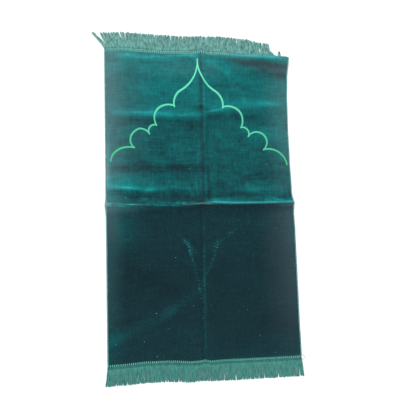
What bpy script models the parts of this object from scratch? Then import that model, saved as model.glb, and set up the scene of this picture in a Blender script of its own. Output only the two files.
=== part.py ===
"""A velvet prayer rug as it lies on the floor after it was unfolded.

The rug is described in the two directions of its own cloth: "across" from left to right and
"along" from the foot end to the arch end, both measured from the middle of the crease that
crosses the rug. The height of the cloth over the floor is a sum of folds, each one a row of the
table FOLDS, and every piece lies on that one surface. All sizes are in metres.
"""
import math
from collections import namedtuple

import bmesh
import bpy

# ---------------------------------------------------------------- driving dimensions
RUG_WIDTH = 0.680
TOP_END = 0.549
BOTTOM_END = -0.550
OUT_OF_SQUARE = -0.018

VELVET_THICKNESS = 0.0030
OVERLOCK_WIDTH = 0.0045
OVERLOCK_THICKNESS = 0.0033
OVERLOCK_CORNER = 0.0010
HEADER_WIDTH = 0.0165
HEADER_THICKNESS = 0.0014
STRING_LENGTH = 0.052
STRING_THICKNESS = 0.0020
COMB_SPINE = 0.0035
SEWING_GAP = 0.00034
STRING_GAP = 0.0006

TOOTH_COUNT = 48
TOOTH_SHARE = 0.76
TOOTH_STAGES = (0.0, 0.5, 1.0)
TOOTH_BEND = 1.5

COARSE_STEP = 0.040
FINE_STEP = 0.008
CREASE_ZONE = 0.045

# The fringe has slid under the top right corner of the velvet, which it lifts.
TUCK_START = 0.100
TUCK_LIFT = 0.0034
TUCK_LIFT_START = 0.042
TUCK_LIFT_RUN = 0.048
TUCK_LIFT_DEPTH = 0.095

# A loose string keeps this share of the fold's height at its tip.
STRING_TIP_SHARE = 0.1

HALF_WIDTH = RUG_WIDTH / 2.0
RUG_LENGTH = TOP_END - BOTTOM_END
MIDDLE_CREST = -0.0025
MIDDLE_WAVE_REACH = 0.080

# ---------------------------------------------------------------- tables
# start, end: (across, along) of the fold's line. crest: height over the floor at the start, the
# middle and the end. reach_low, reach_high: how far the fold spreads below and above its line, or
# left and right of it where it runs down the rug. sharp: 0 for a soft wave, 1 for a pointed crease.
Fold = namedtuple("Fold", "start end crest reach_low reach_high sharp")
FOLDS = {
    "middle crease":
        Fold((-0.345, MIDDLE_CREST), (0.345, MIDDLE_CREST), (0.0145, 0.0120, 0.0155), 0.046, 0.040, 0.9),
    "long crease, arch half":
        Fold((0.011, 0.580), (0.004, 0.010), (0.0090, 0.0065, 0.0040), 0.024, 0.026, 0.8),
    "long swell, foot half":
        Fold((-0.001, -0.040), (-0.009, -0.580), (0.0030, 0.0042, 0.0050), 0.085, 0.085, 0.0),
    "long crease, foot half":
        Fold((-0.001, -0.040), (-0.009, -0.580), (-0.0030, -0.0042, -0.0050), 0.020, 0.020, 0.7),
    "upper wave, left":
        Fold((-0.300, 0.310), (-0.030, 0.315), (0.0015, 0.0050, 0.0045), 0.028, 0.060, 0.2),
    "upper wave, right":
        Fold((0.030, 0.321), (0.300, 0.349), (0.0040, 0.0050, 0.0020), 0.030, 0.060, 0.2),
    "lower wave, left":
        Fold((-0.320, 0.047), (-0.040, 0.052), (0.0025, 0.0045, 0.0030), 0.026, 0.055, 0.2),
    "lower wave, right":
        Fold((0.035, 0.044), (0.290, 0.047), (0.0025, 0.0045, 0.0025), 0.026, 0.050, 0.2),
    "rolled arch end":
        Fold((-0.300, 0.540), (0.320, 0.536), (0.0030, 0.0020, 0.0032), 0.040, 0.080, 0.0),
}
FOLD_FADE = 0.050

Mark = namedtuple("Mark", "at amount")
RIGHT_SIDE_PULL = (
    Mark(-0.550, 0.0000),
    Mark(-0.400, 0.0018),
    Mark(-0.250, 0.0022),
    Mark(-0.100, 0.0030),
    Mark(0.060, 0.0094),
    Mark(0.160, 0.0120),
    Mark(0.270, 0.0130),
    Mark(0.380, 0.0118),
    Mark(0.470, 0.0078),
    Mark(0.550, 0.0000),
)
TOP_END_WAVE = (
    Mark(-0.340, 0.0005),
    Mark(-0.280, 0.0050),
    Mark(-0.210, 0.0018),
    Mark(-0.130, -0.0015),
    Mark(0.000, 0.0022),
    Mark(0.110, -0.0006),
    Mark(0.240, 0.0012),
    Mark(0.340, -0.0025),
)
BOTTOM_END_WAVE = (
    Mark(-0.340, -0.0040),
    Mark(-0.280, -0.0018),
    Mark(-0.210, 0.0030),
    Mark(-0.130, 0.0028),
    Mark(-0.060, -0.0018),
    Mark(0.000, 0.0010),
    Mark(0.014, -0.0018),
    Mark(0.110, -0.0020),
    Mark(0.240, -0.0020),
    Mark(0.340, -0.0008),
)
TOP_HEADER_TUCK = (
    Mark(TUCK_START, 0.0000),
    Mark(0.177, 0.0070),
    Mark(0.232, 0.0150),
    Mark(0.270, 0.0200),
    Mark(0.340, 0.0260),
)
# The middle crease wanders off its straight line by this much, and takes the cloth near it along.
MIDDLE_WAVE = (
    Mark(-0.340, -0.0025),
    Mark(-0.280, -0.0060),
    Mark(-0.210, -0.0082),
    Mark(-0.130, -0.0080),
    Mark(-0.060, -0.0060),
    Mark(0.014, -0.0010),
    Mark(0.110, -0.0022),
    Mark(0.240, -0.0010),
    Mark(0.340, 0.0027),
)
NO_TUCK = (Mark(0.0, 0.0),)
TOP_STRING_REACH = (
    Mark(0.262, 1.00),
    Mark(0.272, 0.45),
    Mark(0.284, 0.28),
    Mark(0.296, 0.12),
    Mark(0.340, 0.10),
)
TOP_STRING_LEAN = (
    Mark(-0.340, -0.0460),
    Mark(-0.325, -0.0290),
    Mark(-0.312, -0.0190),
    Mark(-0.280, -0.0080),
    Mark(-0.150, -0.0030),
    Mark(0.000, 0.0010),
    Mark(0.150, 0.0030),
    Mark(0.250, -0.0020),
    Mark(0.340, -0.0050),
)
BOTTOM_STRING_REACH = (
    Mark(-0.340, 0.96),
    Mark(0.000, 1.00),
    Mark(0.340, 0.97),
)
BOTTOM_STRING_LEAN = (
    Mark(-0.340, -0.0060),
    Mark(0.000, 0.0015),
    Mark(0.340, 0.0050),
)

# ---------------------------------------------------------------- finishes
Finish = namedtuple("Finish", "name colour roughness")
VELVET = Finish("green_velvet", (0.020, 0.125, 0.130), 0.92)
OVERLOCK = Finish("overlock_thread", (0.055, 0.240, 0.225), 0.80)
TRIMMING = Finish("fringe_yarn", (0.120, 0.340, 0.300), 0.75)


# ---------------------------------------------------------------- the surface that all pieces lie on
def smooth(share):
    """Ease from 0 to 1 with level ends."""
    share = min(max(share, 0.0), 1.0)
    return share * share * (3.0 - 2.0 * share)


def read_table(table, at, ease=smooth):
    """Amount at a place, between the two marks round it: eased, or straight with ease=float."""
    if at <= table[0].at:
        return table[0].amount
    for low, high in zip(table, table[1:]):
        if at <= high.at:
            share = ease((at - low.at) / (high.at - low.at))
            return low.amount + share * (high.amount - low.amount)
    return table[-1].amount


def crest_height(fold, place):
    """Crest of a fold at a place from 0 to 1 along its line, eased through its three heights."""
    first, middle, last = fold.crest
    if place < 0.5:
        return first + (middle - first) * smooth(2.0 * place)
    return middle + (last - middle) * smooth(2.0 * place - 1.0)


def fold_height(fold, across, along):
    """Height that one fold adds: its crest, times a bell or tent over the distance to its line."""
    run_across = fold.end[0] - fold.start[0]
    run_along = fold.end[1] - fold.start[1]
    length = math.hypot(run_across, run_along)
    step_across = across - fold.start[0]
    step_along = along - fold.start[1]
    from_start = (step_across * run_across + step_along * run_along) / length
    to_side = (step_along * run_across - step_across * run_along) / length
    reach = fold.reach_high if to_side > 0.0 else fold.reach_low
    share = abs(to_side) / reach
    if share >= 1.0:
        return 0.0
    past_end = max(-from_start, from_start - length, 0.0)
    fade = 1.0 - smooth(past_end / FOLD_FADE)
    place = min(max(from_start / length, 0.0), 1.0)
    section = (1.0 - share) ** 2 * (1.0 + 2.0 * share * (1.0 - fold.sharp))
    return crest_height(fold, place) * fade * section


def cloth_height(across, along):
    """Height of the underside of the cloth: the sum of the folds, never under the floor."""
    return max(0.0, sum(fold_height(fold, across, along) for fold in FOLDS.values()))


def velvet_height(across, along):
    """The velvet lies on the folds, and in its top right corner on the fringe as well."""
    over_fringe = smooth((across - TUCK_LIFT_START) / TUCK_LIFT_RUN)
    near_end = smooth((along - TOP_END + TUCK_LIFT_DEPTH) / TUCK_LIFT_RUN)
    return cloth_height(across, along) + TUCK_LIFT * over_fringe * near_end


def trimming_height(across, along):
    """The heading follows the folds; the loose strings sink to the floor along their length."""
    past_top = along - TOP_END - HEADER_WIDTH
    past_bottom = BOTTOM_END - HEADER_WIDTH - along
    sink = smooth(max(past_top, past_bottom, 0.0) / STRING_LENGTH)
    return cloth_height(across, along) * (1.0 - (1.0 - STRING_TIP_SHARE) * sink)


def lay(across, along, height):
    """World position of a point of the cloth.

    The right side is pulled in, by less towards the middle; the ends and the middle crease are
    wavy; and the whole rug is a little out of square.
    """
    side_share = max(across, 0.0) / HALF_WIDTH
    share_up = min(max((along - BOTTOM_END) / RUG_LENGTH, 0.0), 1.0)
    near_middle = smooth(1.0 - abs(along - MIDDLE_CREST) / MIDDLE_WAVE_REACH)
    top_wave = read_table(TOP_END_WAVE, across, ease=float)
    bottom_wave = read_table(BOTTOM_END_WAVE, across, ease=float)
    middle_wave = read_table(MIDDLE_WAVE, across, ease=float)
    x = across - read_table(RIGHT_SIDE_PULL, along) * side_share ** 2
    y = along + share_up * top_wave + (1.0 - share_up) * bottom_wave + near_middle * middle_wave
    return (x + OUT_OF_SQUARE * y, y, height)


# ---------------------------------------------------------------- mesh helpers
def stations(low, high, creases, bends=()):
    """Grid lines from low to high: coarse on flat cloth, fine near creases, one at each bend."""
    lines = {low, high}
    lines.update(bend for bend in bends if low < bend < high)
    here = low + COARSE_STEP
    while here < high - FINE_STEP / 2.0:
        if all(abs(here - line) > FINE_STEP / 2.0 for line in lines):
            lines.add(here)
        near = any(abs(here - crease) < CREASE_ZONE for crease in creases)
        here += FINE_STEP if near else COARSE_STEP
    return sorted(lines)


def panel_lines_across():
    """Grid lines of the velvet from side to side, with one at each bend of its ends and crease."""
    inset = OVERLOCK_WIDTH + SEWING_GAP
    bends = [mark.at for mark in TOP_END_WAVE + BOTTOM_END_WAVE + MIDDLE_WAVE]
    return stations(-HALF_WIDTH + inset, HALF_WIDTH - inset, (0.0,), bends)


def panel_lines_along():
    """Grid lines of the velvet and of its overlocked sides, from end to end."""
    creases = (MIDDLE_CREST, 0.050, 0.330, 0.530)
    return stations(BOTTOM_END, TOP_END, creases, (MIDDLE_CREST,))


def add_material(mesh, finish):
    material = bpy.data.materials.new(finish.name)
    material.use_nodes = True
    shader = material.node_tree.nodes["Principled BSDF"]
    shader.inputs["Base Color"].default_value = (*finish.colour, 1.0)
    shader.inputs["Roughness"].default_value = finish.roughness
    shader.inputs["Metallic"].default_value = 0.0
    mesh.materials.append(material)


def finish_object(name, mesh_builder, finish):
    """Turn a finished bmesh into a named object with its own material."""
    bmesh.ops.recalc_face_normals(mesh_builder, faces=mesh_builder.faces)
    mesh = bpy.data.meshes.new(name)
    mesh_builder.to_mesh(mesh)
    mesh_builder.free()
    mesh.shade_smooth()
    mesh.set_sharp_from_angle(angle=math.radians(40.0))
    add_material(mesh, finish)
    piece = bpy.data.objects.new(name, mesh)
    bpy.context.scene.collection.objects.link(piece)
    return piece


def thicken_upward(mesh_builder, thickness):
    """Make a closed body of a sheet: its faces stay as the underside, a copy is raised."""
    result = bmesh.ops.extrude_face_region(mesh_builder, geom=mesh_builder.faces[:])
    raised = [item for item in result["geom"] if isinstance(item, bmesh.types.BMVert)]
    bmesh.ops.translate(mesh_builder, verts=raised, vec=(0.0, 0.0, thickness))


def sheet_from_rows(rows, keep_cell=lambda row, column: True):
    """Sheet of quads over rows of points; keep_cell(row, column) says which cells are cloth."""
    mesh_builder = bmesh.new()
    corners = {}

    def corner(row, column):
        if (row, column) not in corners:
            corners[row, column] = mesh_builder.verts.new(rows[row][column])
        return corners[row, column]

    for row in range(len(rows) - 1):
        for column in range(len(rows[0]) - 1):
            if keep_cell(row, column):
                mesh_builder.faces.new((
                    corner(row, column),
                    corner(row, column + 1),
                    corner(row + 1, column + 1),
                    corner(row + 1, column),
                ))
    return mesh_builder


# ---------------------------------------------------------------- the pieces
def build_velvet_panel():
    """One sheet of velvet between the overlocked sides, on the folds."""
    rows = [
        [lay(across, along, velvet_height(across, along)) for across in panel_lines_across()]
        for along in panel_lines_along()
    ]
    mesh_builder = sheet_from_rows(rows)
    thicken_upward(mesh_builder, VELVET_THICKNESS)
    return finish_object("velvet_panel", mesh_builder, VELVET)


def overlock_section():
    """Section of a wrapped edge as (out, up): flat to the velvet and the floor, cut off outside."""
    width = OVERLOCK_WIDTH
    height = OVERLOCK_THICKNESS
    corner = OVERLOCK_CORNER
    return (
        (0.0, 0.0),
        (width - corner, 0.0),
        (width, corner),
        (width, height - corner),
        (width - corner, height),
        (0.0, height),
    )


def build_overlock(name, side):
    """Carry the wrapped section along one side of the rug: side is -1 for left, 1 for right."""
    mesh_builder = bmesh.new()
    inner = HALF_WIDTH - OVERLOCK_WIDTH
    section = overlock_section()
    rings = []
    for along in panel_lines_along():
        base = velvet_height(side * inner, along)
        points = [lay(side * (inner + out), along, base + up) for out, up in section]
        rings.append([mesh_builder.verts.new(point) for point in points])
    for near, far in zip(rings, rings[1:]):
        for corner in range(len(section)):
            after = (corner + 1) % len(section)
            mesh_builder.faces.new((near[corner], near[after], far[after], far[corner]))
    mesh_builder.faces.new(rings[0])
    mesh_builder.faces.new(rings[-1])
    return finish_object(name, mesh_builder, OVERLOCK)


def along_from_end(side, reach):
    """Place on the cloth's length at a reach past one end: side is 1 for top, -1 for bottom."""
    return TOP_END + reach if side > 0.0 else BOTTOM_END - reach


def tooth_roots():
    """Left and right root of each tooth of the comb, from side to side of the rug."""
    pitch = RUG_WIDTH / TOOTH_COUNT
    margin = pitch * (1.0 - TOOTH_SHARE) / 2.0
    roots = []
    for tooth in range(TOOTH_COUNT):
        start = -HALF_WIDTH + pitch * tooth
        roots += [start + margin, start + pitch - margin]
    return roots


def build_header(name, side, tuck_table):
    """Woven band of the fringe trimming, from one side of the rug to the other."""
    marks = TOP_END_WAVE + BOTTOM_END_WAVE
    lines = stations(-HALF_WIDTH, HALF_WIDTH, (0.0,), [mark.at for mark in marks + tuck_table])
    rows = []
    for reach in (SEWING_GAP, SEWING_GAP + HEADER_WIDTH):
        points = []
        for across in lines:
            tuck = read_table(tuck_table, across, ease=float)
            along = along_from_end(side, reach - tuck)
            points.append(lay(across, along, trimming_height(across, along)))
        rows.append(points)
    mesh_builder = sheet_from_rows(rows)
    thicken_upward(mesh_builder, HEADER_THICKNESS)
    return finish_object(name, mesh_builder, TRIMMING)


def build_comb(name, side, tuck_table, reach_table, lean_table):
    """The looped strings as one comb: a narrow spine beside the band, and a tooth a clump."""
    spine_start = SEWING_GAP + HEADER_WIDTH + STRING_GAP
    tooth_start = spine_start + COMB_SPINE
    roots = tooth_roots()
    rows = [[]]
    for across in roots:
        along = along_from_end(side, spine_start - read_table(tuck_table, across, ease=float))
        rows[0].append(lay(across, along, trimming_height(across, along)))
    for stage in TOOTH_STAGES:
        points = []
        for column, across in enumerate(roots):
            tooth = roots[column - column % 2]
            string = (STRING_LENGTH - COMB_SPINE) * read_table(reach_table, tooth)
            here = across + stage ** TOOTH_BEND * read_table(lean_table, tooth)
            tuck = read_table(tuck_table, across, ease=float)
            along = along_from_end(side, tooth_start + stage * string - tuck)
            points.append(lay(here, along, trimming_height(here, along)))
        rows.append(points)
    mesh_builder = sheet_from_rows(rows, lambda row, column: row == 0 or column % 2 == 0)
    thicken_upward(mesh_builder, STRING_THICKNESS)
    return finish_object(name, mesh_builder, TRIMMING)


def settle_on_origin(pieces):
    """Shift every mesh so that the box round all pieces is centred over the origin."""
    corners = [vertex.co for piece in pieces for vertex in piece.data.vertices]
    middle_x = (min(co.x for co in corners) + max(co.x for co in corners)) / 2.0
    middle_y = (min(co.y for co in corners) + max(co.y for co in corners)) / 2.0
    for piece in pieces:
        for vertex in piece.data.vertices:
            vertex.co.x -= middle_x
            vertex.co.y -= middle_y
        piece.data.update()


def main():
    for old in list(bpy.data.objects):
        bpy.data.objects.remove(old, do_unlink=True)
    settle_on_origin([
        build_velvet_panel(),
        build_overlock("overlock_left", -1.0),
        build_overlock("overlock_right", 1.0),
        build_header("header_tape_top", 1.0, TOP_HEADER_TUCK),
        build_header("header_tape_bottom", -1.0, NO_TUCK),
        build_comb("fringe_comb_top", 1.0, TOP_HEADER_TUCK, TOP_STRING_REACH, TOP_STRING_LEAN),
        build_comb("fringe_comb_bottom", -1.0, NO_TUCK, BOTTOM_STRING_REACH, BOTTOM_STRING_LEAN),
    ])


main()
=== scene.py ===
# %% [markdown]
# # A velvet prayer rug, laid out on the floor
#
# The real rug is one rectangle of machine woven velvet. Its long sides are bound with overlock
# yarn, and a woven heading with looped strings is sewn to each end. It was stored folded in four,
# so a crease crosses it and another runs down its middle.
#
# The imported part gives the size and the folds. This lesson repeats those numbers and builds
# every piece again as a surface worked out with numpy, fine enough to carry its yarns.

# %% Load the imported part
import math
from collections import namedtuple

import bpy
import numpy as np
from mathutils import Matrix, Vector


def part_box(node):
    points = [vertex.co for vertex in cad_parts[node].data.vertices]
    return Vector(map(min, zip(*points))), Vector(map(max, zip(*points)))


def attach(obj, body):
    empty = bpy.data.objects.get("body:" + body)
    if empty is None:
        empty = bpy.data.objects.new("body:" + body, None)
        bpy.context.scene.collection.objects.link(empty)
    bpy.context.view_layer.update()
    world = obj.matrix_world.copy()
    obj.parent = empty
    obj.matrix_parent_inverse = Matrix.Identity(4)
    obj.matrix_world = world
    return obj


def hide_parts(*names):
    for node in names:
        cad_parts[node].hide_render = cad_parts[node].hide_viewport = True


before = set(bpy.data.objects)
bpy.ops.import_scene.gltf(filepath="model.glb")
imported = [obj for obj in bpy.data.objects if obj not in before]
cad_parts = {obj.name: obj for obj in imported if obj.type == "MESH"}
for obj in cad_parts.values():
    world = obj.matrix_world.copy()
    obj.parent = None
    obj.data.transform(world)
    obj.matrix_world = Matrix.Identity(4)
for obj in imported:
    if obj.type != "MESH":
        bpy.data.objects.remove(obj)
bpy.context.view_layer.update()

print("solids in the part:", ", ".join(sorted(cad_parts)))

# %% [markdown]
# ## The cloth's own directions
#
# A rug is easiest to describe in its own cloth: "across" runs from the left side to the right
# one, and "along" from the foot end to the end with the arch. Both start at the middle of the
# crease that crosses the rug. All sizes are in metres.

# %% Sizes of the rug, the same as in the part
RUG_WIDTH = 0.680
TOP_END = 0.549
BOTTOM_END = -0.550
OUT_OF_SQUARE = -0.018
VELVET_THICKNESS = 0.0030
OVERLOCK_WIDTH = 0.0045
OVERLOCK_THICKNESS = 0.0033
HEADER_WIDTH = 0.0165
HEADER_THICKNESS = 0.0014
STRING_LENGTH = 0.052
SEWING_GAP = 0.00034
HALF_WIDTH = RUG_WIDTH / 2.0
RUG_LENGTH = TOP_END - BOTTOM_END
PANEL_EDGE = HALF_WIDTH - OVERLOCK_WIDTH - SEWING_GAP
print(f"the velvet is {RUG_WIDTH} m by {RUG_LENGTH:.3f} m")

# %% Easing, and tables of marks read along the cloth
def smooth(share):
    """Ease from 0 to 1 with level ends: three shares squared less two shares cubed."""
    share = np.clip(share, 0.0, 1.0)
    return share * share * (3.0 - 2.0 * share)


def straight(marks, at):
    """Amounts at places: straight lines from one (place, amount) mark to the next."""
    places, amounts = np.array(marks).T
    return np.interp(at, places, amounts)


def eased(marks, at):
    """Amounts at places: an eased step from one (place, amount) mark to the next."""
    places, amounts = np.array(marks).T
    here = np.clip(np.searchsorted(places, at) - 1, 0, len(places) - 2)
    share = smooth((at - places[here]) / (places[here + 1] - places[here]))
    return amounts[here] + share * (amounts[here + 1] - amounts[here])


print("halfway up an eased step is", float(smooth(0.5)))

# %% [markdown]
# ## The folds
#
# A rug that was folded in four keeps its creases: they stand up as soft ridges, and the cloth
# between them waves a little. Cloth simulation would give other folds than the real ones, so
# each fold is given as one row: a line, three heights of its crest, its reach to both sides and
# how sharp it is. The height of the cloth over the floor is the sum of the rows.

# %% The part's folds
Fold = namedtuple("Fold", "start end crest reach_low reach_high sharp")
MIDDLE = -0.0025
FOLDS = (
    # the middle crease, and the long crease with the swell that it sits in
    Fold((-0.345, MIDDLE), (0.345, MIDDLE), (0.0145, 0.0120, 0.0155), 0.046, 0.040, 0.9),
    Fold((0.011, 0.580), (0.004, 0.010), (0.0090, 0.0065, 0.0040), 0.024, 0.026, 0.8),
    Fold((-0.001, -0.040), (-0.009, -0.580), (0.0030, 0.0042, 0.0050), 0.085, 0.085, 0.0),
    Fold((-0.001, -0.040), (-0.009, -0.580), (-0.0030, -0.0042, -0.0050), 0.020, 0.020, 0.7),
    # two waves across each half of the arch end, and the rolled edge of that end
    Fold((-0.300, 0.310), (-0.030, 0.315), (0.0015, 0.0050, 0.0045), 0.028, 0.060, 0.2),
    Fold((0.030, 0.321), (0.300, 0.349), (0.0040, 0.0050, 0.0020), 0.030, 0.060, 0.2),
    Fold((-0.320, 0.047), (-0.040, 0.052), (0.0025, 0.0045, 0.0030), 0.026, 0.055, 0.2),
    Fold((0.035, 0.044), (0.290, 0.047), (0.0025, 0.0045, 0.0025), 0.026, 0.050, 0.2),
    Fold((-0.300, 0.540), (0.320, 0.536), (0.0030, 0.0020, 0.0032), 0.040, 0.080, 0.0),
)
FOLD_FADE = 0.050
print(len(FOLDS), "folds, the highest", 1000 * max(max(fold.crest) for fold in FOLDS), "mm")

# %% Small wrinkles that the part leaves out
WRINKLES = (
    Fold((-0.320, 0.474), (-0.140, 0.468), (0.0005, 0.0009, 0.0004), 0.012, 0.022, 0.0),
    Fold((-0.300, 0.392), (-0.080, 0.398), (0.0003, 0.0008, 0.0005), 0.014, 0.024, 0.0),
    Fold((0.040, 0.452), (0.300, 0.492), (0.0004, 0.0009, 0.0010), 0.020, 0.030, 0.0),
    Fold((0.040, 0.215), (0.300, 0.226), (0.0004, 0.0007, 0.0003), 0.012, 0.026, 0.0),
    Fold((-0.310, 0.128), (-0.020, 0.136), (0.0008, 0.0006, 0.0008), 0.010, 0.020, 0.0),
    Fold((0.140, 0.012), (0.225, 0.022), (0.0002, 0.0008, 0.0012), 0.008, 0.010, 0.3),
    Fold((0.225, 0.022), (0.300, 0.012), (0.0012, 0.0008, 0.0002), 0.008, 0.010, 0.3),
    Fold((-0.110, -0.080), (-0.045, -0.170), (0.0001, 0.0003, 0.0004), 0.014, 0.014, 0.2),
    Fold((-0.045, -0.170), (-0.015, -0.300), (0.0004, 0.0003, 0.0001), 0.014, 0.014, 0.2),
    Fold((0.104, -0.104), (0.036, -0.187), (0.0001, 0.0003, 0.0003), 0.014, 0.014, 0.2),
    Fold((0.036, -0.187), (0.000, -0.290), (0.0003, 0.0002, 0.0001), 0.014, 0.014, 0.2),
    Fold((-0.018, -0.309), (-0.320, -0.470), (0.0003, 0.0008, 0.0006), 0.030, 0.026, 0.0),
)
CREST_ROUNDING = 0.0016
print(len(WRINKLES), "wrinkles")


# %% Height that one fold adds
def ridge(fold, across, along):
    """Crest times fade times section.

    The section is (1 - s)^2 (1 + 2 s (1 - sharp)), with s the distance to the fold's line over
    its reach. The distance is rounded off at the line, so that no crest is a knife edge.
    """
    start, end = np.array(fold.start), np.array(fold.end)
    length = np.hypot(*(end - start))
    run = (end - start) / length
    step_across, step_along = across - start[0], along - start[1]
    from_start = step_across * run[0] + step_along * run[1]
    to_side = step_along * run[0] - step_across * run[1]
    reach = np.where(to_side > 0.0, fold.reach_high, fold.reach_low)
    share = (np.hypot(to_side, CREST_ROUNDING) - CREST_ROUNDING) / reach
    section = np.clip(1.0 - share, 0.0, 1.0) ** 2 * (1.0 + 2.0 * share * (1.0 - fold.sharp))
    past_end = np.maximum(np.maximum(-from_start, from_start - length), 0.0)
    place = np.clip(from_start / length, 0.0, 1.0)
    first, middle, last = fold.crest
    crest = eased(((0.0, first), (0.5, middle), (1.0, last)), place)
    return crest * (1.0 - smooth(past_end / FOLD_FADE)) * section


print(f"middle crease at its left end: {1000 * ridge(FOLDS[0], -0.34, MIDDLE):.1f} mm")

# %% [markdown]
# ## One surface for every piece
#
# The velvet, its bound sides, the heading and the strings all lie on the same folds. So the
# heights are functions of the place on the cloth, and one more function, `lay`, says where
# that place is on the floor: this rug is pulled in along its right side, its ends are wavy and
# the whole of it is a little out of square.

# %% Heights
TUCK_LIFT = 0.0034
TUCK_LIFT_START = 0.042
TUCK_LIFT_RUN = 0.048
TUCK_LIFT_DEPTH = 0.095
STRING_TIP_SHARE = 0.1


def height_of(folds, across, along):
    """Sum of the folds, never below 0; with FOLDS, the height of the cloth's underside."""
    return np.maximum(sum(ridge(fold, across, along) for fold in folds), 0.0)


def over_strings(across):
    """1 where strings lie under the right part of the arch end, 0 to the left of them."""
    return smooth((across - TUCK_LIFT_START) / TUCK_LIFT_RUN)


def velvet_height(across, along):
    """Folds plus wrinkles, plus the lift of the strings under the top right corner."""
    near_end = smooth((along - TOP_END + TUCK_LIFT_DEPTH) / TUCK_LIFT_RUN)
    lift = TUCK_LIFT * over_strings(across) * near_end
    return height_of(FOLDS, across, along) + height_of(WRINKLES, across, along) + lift


def trimming_height(across, along):
    """Height of the folds, sinking to a tenth of that along the length of the strings."""
    past_top = along - TOP_END - HEADER_WIDTH
    past_bottom = BOTTOM_END - HEADER_WIDTH - along
    sink = smooth(np.maximum(np.maximum(past_top, past_bottom), 0.0) / STRING_LENGTH)
    return height_of(FOLDS, across, along) * (1.0 - (1.0 - STRING_TIP_SHARE) * sink)


print(f"the velvet's back lies {1000 * velvet_height(0.3, 0.54):.1f} mm up at its top right corner")

# %% Where a place of the cloth lies on the floor
RIGHT_SIDE_PULL = (
    (-0.550, 0.0000), (-0.400, 0.0018), (-0.250, 0.0022), (-0.100, 0.0030), (0.060, 0.0094),
    (0.160, 0.0120), (0.270, 0.0130), (0.380, 0.0118), (0.470, 0.0078), (0.550, 0.0000),
)
TOP_END_WAVE = (
    (-0.340, 0.0005), (-0.280, 0.0050), (-0.210, 0.0018), (-0.130, -0.0015),
    (0.000, 0.0022), (0.110, -0.0006), (0.240, 0.0012), (0.340, -0.0025),
)
BOTTOM_END_WAVE = (
    (-0.340, -0.0040), (-0.280, -0.0018), (-0.210, 0.0030), (-0.130, 0.0028), (-0.060, -0.0018),
    (0.000, 0.0010), (0.014, -0.0018), (0.110, -0.0020), (0.240, -0.0020), (0.340, -0.0008),
)
MIDDLE_WAVE = (
    (-0.340, -0.0025), (-0.280, -0.0060), (-0.210, -0.0082), (-0.130, -0.0080), (-0.060, -0.0060),
    (0.014, -0.0010), (0.110, -0.0022), (0.240, -0.0010), (0.340, 0.0027),
)
MIDDLE_WAVE_REACH = 0.080


def lay_unshifted(across, along):
    """x = across less the side's pull, y = along plus the waves of ends and crease, then sheared."""
    side_share = np.maximum(across, 0.0) / HALF_WIDTH
    share_up = np.clip((along - BOTTOM_END) / RUG_LENGTH, 0.0, 1.0)
    near_middle = smooth(1.0 - np.abs(along - MIDDLE) / MIDDLE_WAVE_REACH)
    x = across - eased(RIGHT_SIDE_PULL, along) * side_share ** 2
    y = along + share_up * straight(TOP_END_WAVE, across)
    y = y + (1.0 - share_up) * straight(BOTTOM_END_WAVE, across)
    y = y + near_middle * straight(MIDDLE_WAVE, across)
    return x + OUT_OF_SQUARE * y, y


# %% Put the surface where the part's velvet is
OUTLINE_LINES = 801
outline_across, outline_along = np.meshgrid(
    np.linspace(-PANEL_EDGE, PANEL_EDGE, OUTLINE_LINES),
    np.linspace(BOTTOM_END, TOP_END, OUTLINE_LINES))
outline_x, outline_y = lay_unshifted(outline_across, outline_along)
part_low, part_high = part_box("velvet_panel")
SHIFT_X = (part_low.x + part_high.x - outline_x.min() - outline_x.max()) / 2.0
SHIFT_Y = (part_low.y + part_high.y - outline_y.min() - outline_y.max()) / 2.0


def lay(across, along, height):
    """Points (x, y, z) of the cloth in the part's frame, as one array."""
    x, y = lay_unshifted(across, along)
    height = np.broadcast_to(height, np.shape(x))
    return np.stack([x + SHIFT_X, y + SHIFT_Y, height], axis=-1)


print(f"shift {1000 * SHIFT_X:.2f} mm, {1000 * SHIFT_Y:.2f} mm")
print(f"width here {outline_x.max() - outline_x.min():.4f}, in the part {part_high.x - part_low.x:.4f}")

# %% [markdown]
# ## Meshes from arrays
#
# `add_mesh` hands whole arrays of points and faces to Blender. `tubes` carries a ring of
# points along many paths at once: each path has a direction at every step, and the ring stands
# across it on a side and an up direction. `add_yarns` makes one piece of such tubes.

# %% Arrays to a mesh object
triangle_counts = {}


def add_mesh(name, points, faces, corner_uv=None, uv_name="yarn"):
    """Object at the origin with these points (n, 3), these faces and a UV pair per corner."""
    mesh = bpy.data.meshes.new(name)
    mesh.from_pydata(points.reshape(-1, 3).tolist(), [], faces)
    if corner_uv is not None:
        layer = mesh.uv_layers.new(name=uv_name)
        layer.uv.foreach_set("vector", corner_uv.astype(np.float32).ravel())
    mesh.polygons.foreach_set("use_smooth", np.ones(len(mesh.polygons), bool))
    mesh.update()
    piece = bpy.data.objects.new(name, mesh)
    bpy.context.scene.collection.objects.link(piece)
    triangle_counts[name] = sum(len(face) - 2 for face in faces)
    print(f"{name}: {len(mesh.vertices)} points, {triangle_counts[name]} triangles")
    return piece


# %% Rings carried along paths
def frames(paths):
    """Side and up directions of paths (count, steps, 3): side = up axis x run, up = run x side."""
    run = np.gradient(paths, axis=1)
    run /= np.linalg.norm(run, axis=-1, keepdims=True)
    side = np.cross(np.array([0.0, 0.0, 1.0]), run)
    side /= np.maximum(np.linalg.norm(side, axis=-1, keepdims=True), 1e-9)
    return side, np.cross(run, side)


def tubes(paths, wide, high, around):
    """Rings (count, steps, around, 3): path + wide cos(turn) side + high sin(turn) up."""
    side, up = frames(paths)
    turn = np.arange(around) * 2.0 * np.pi / around
    wide = np.broadcast_to(wide, paths.shape[:2])[:, :, None, None]
    high = np.broadcast_to(high, paths.shape[:2])[:, :, None, None]
    out = wide * np.cos(turn)[:, None] * side[:, :, None, :]
    return paths[:, :, None, :] + out + high * np.sin(turn)[:, None] * up[:, :, None, :]


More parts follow.
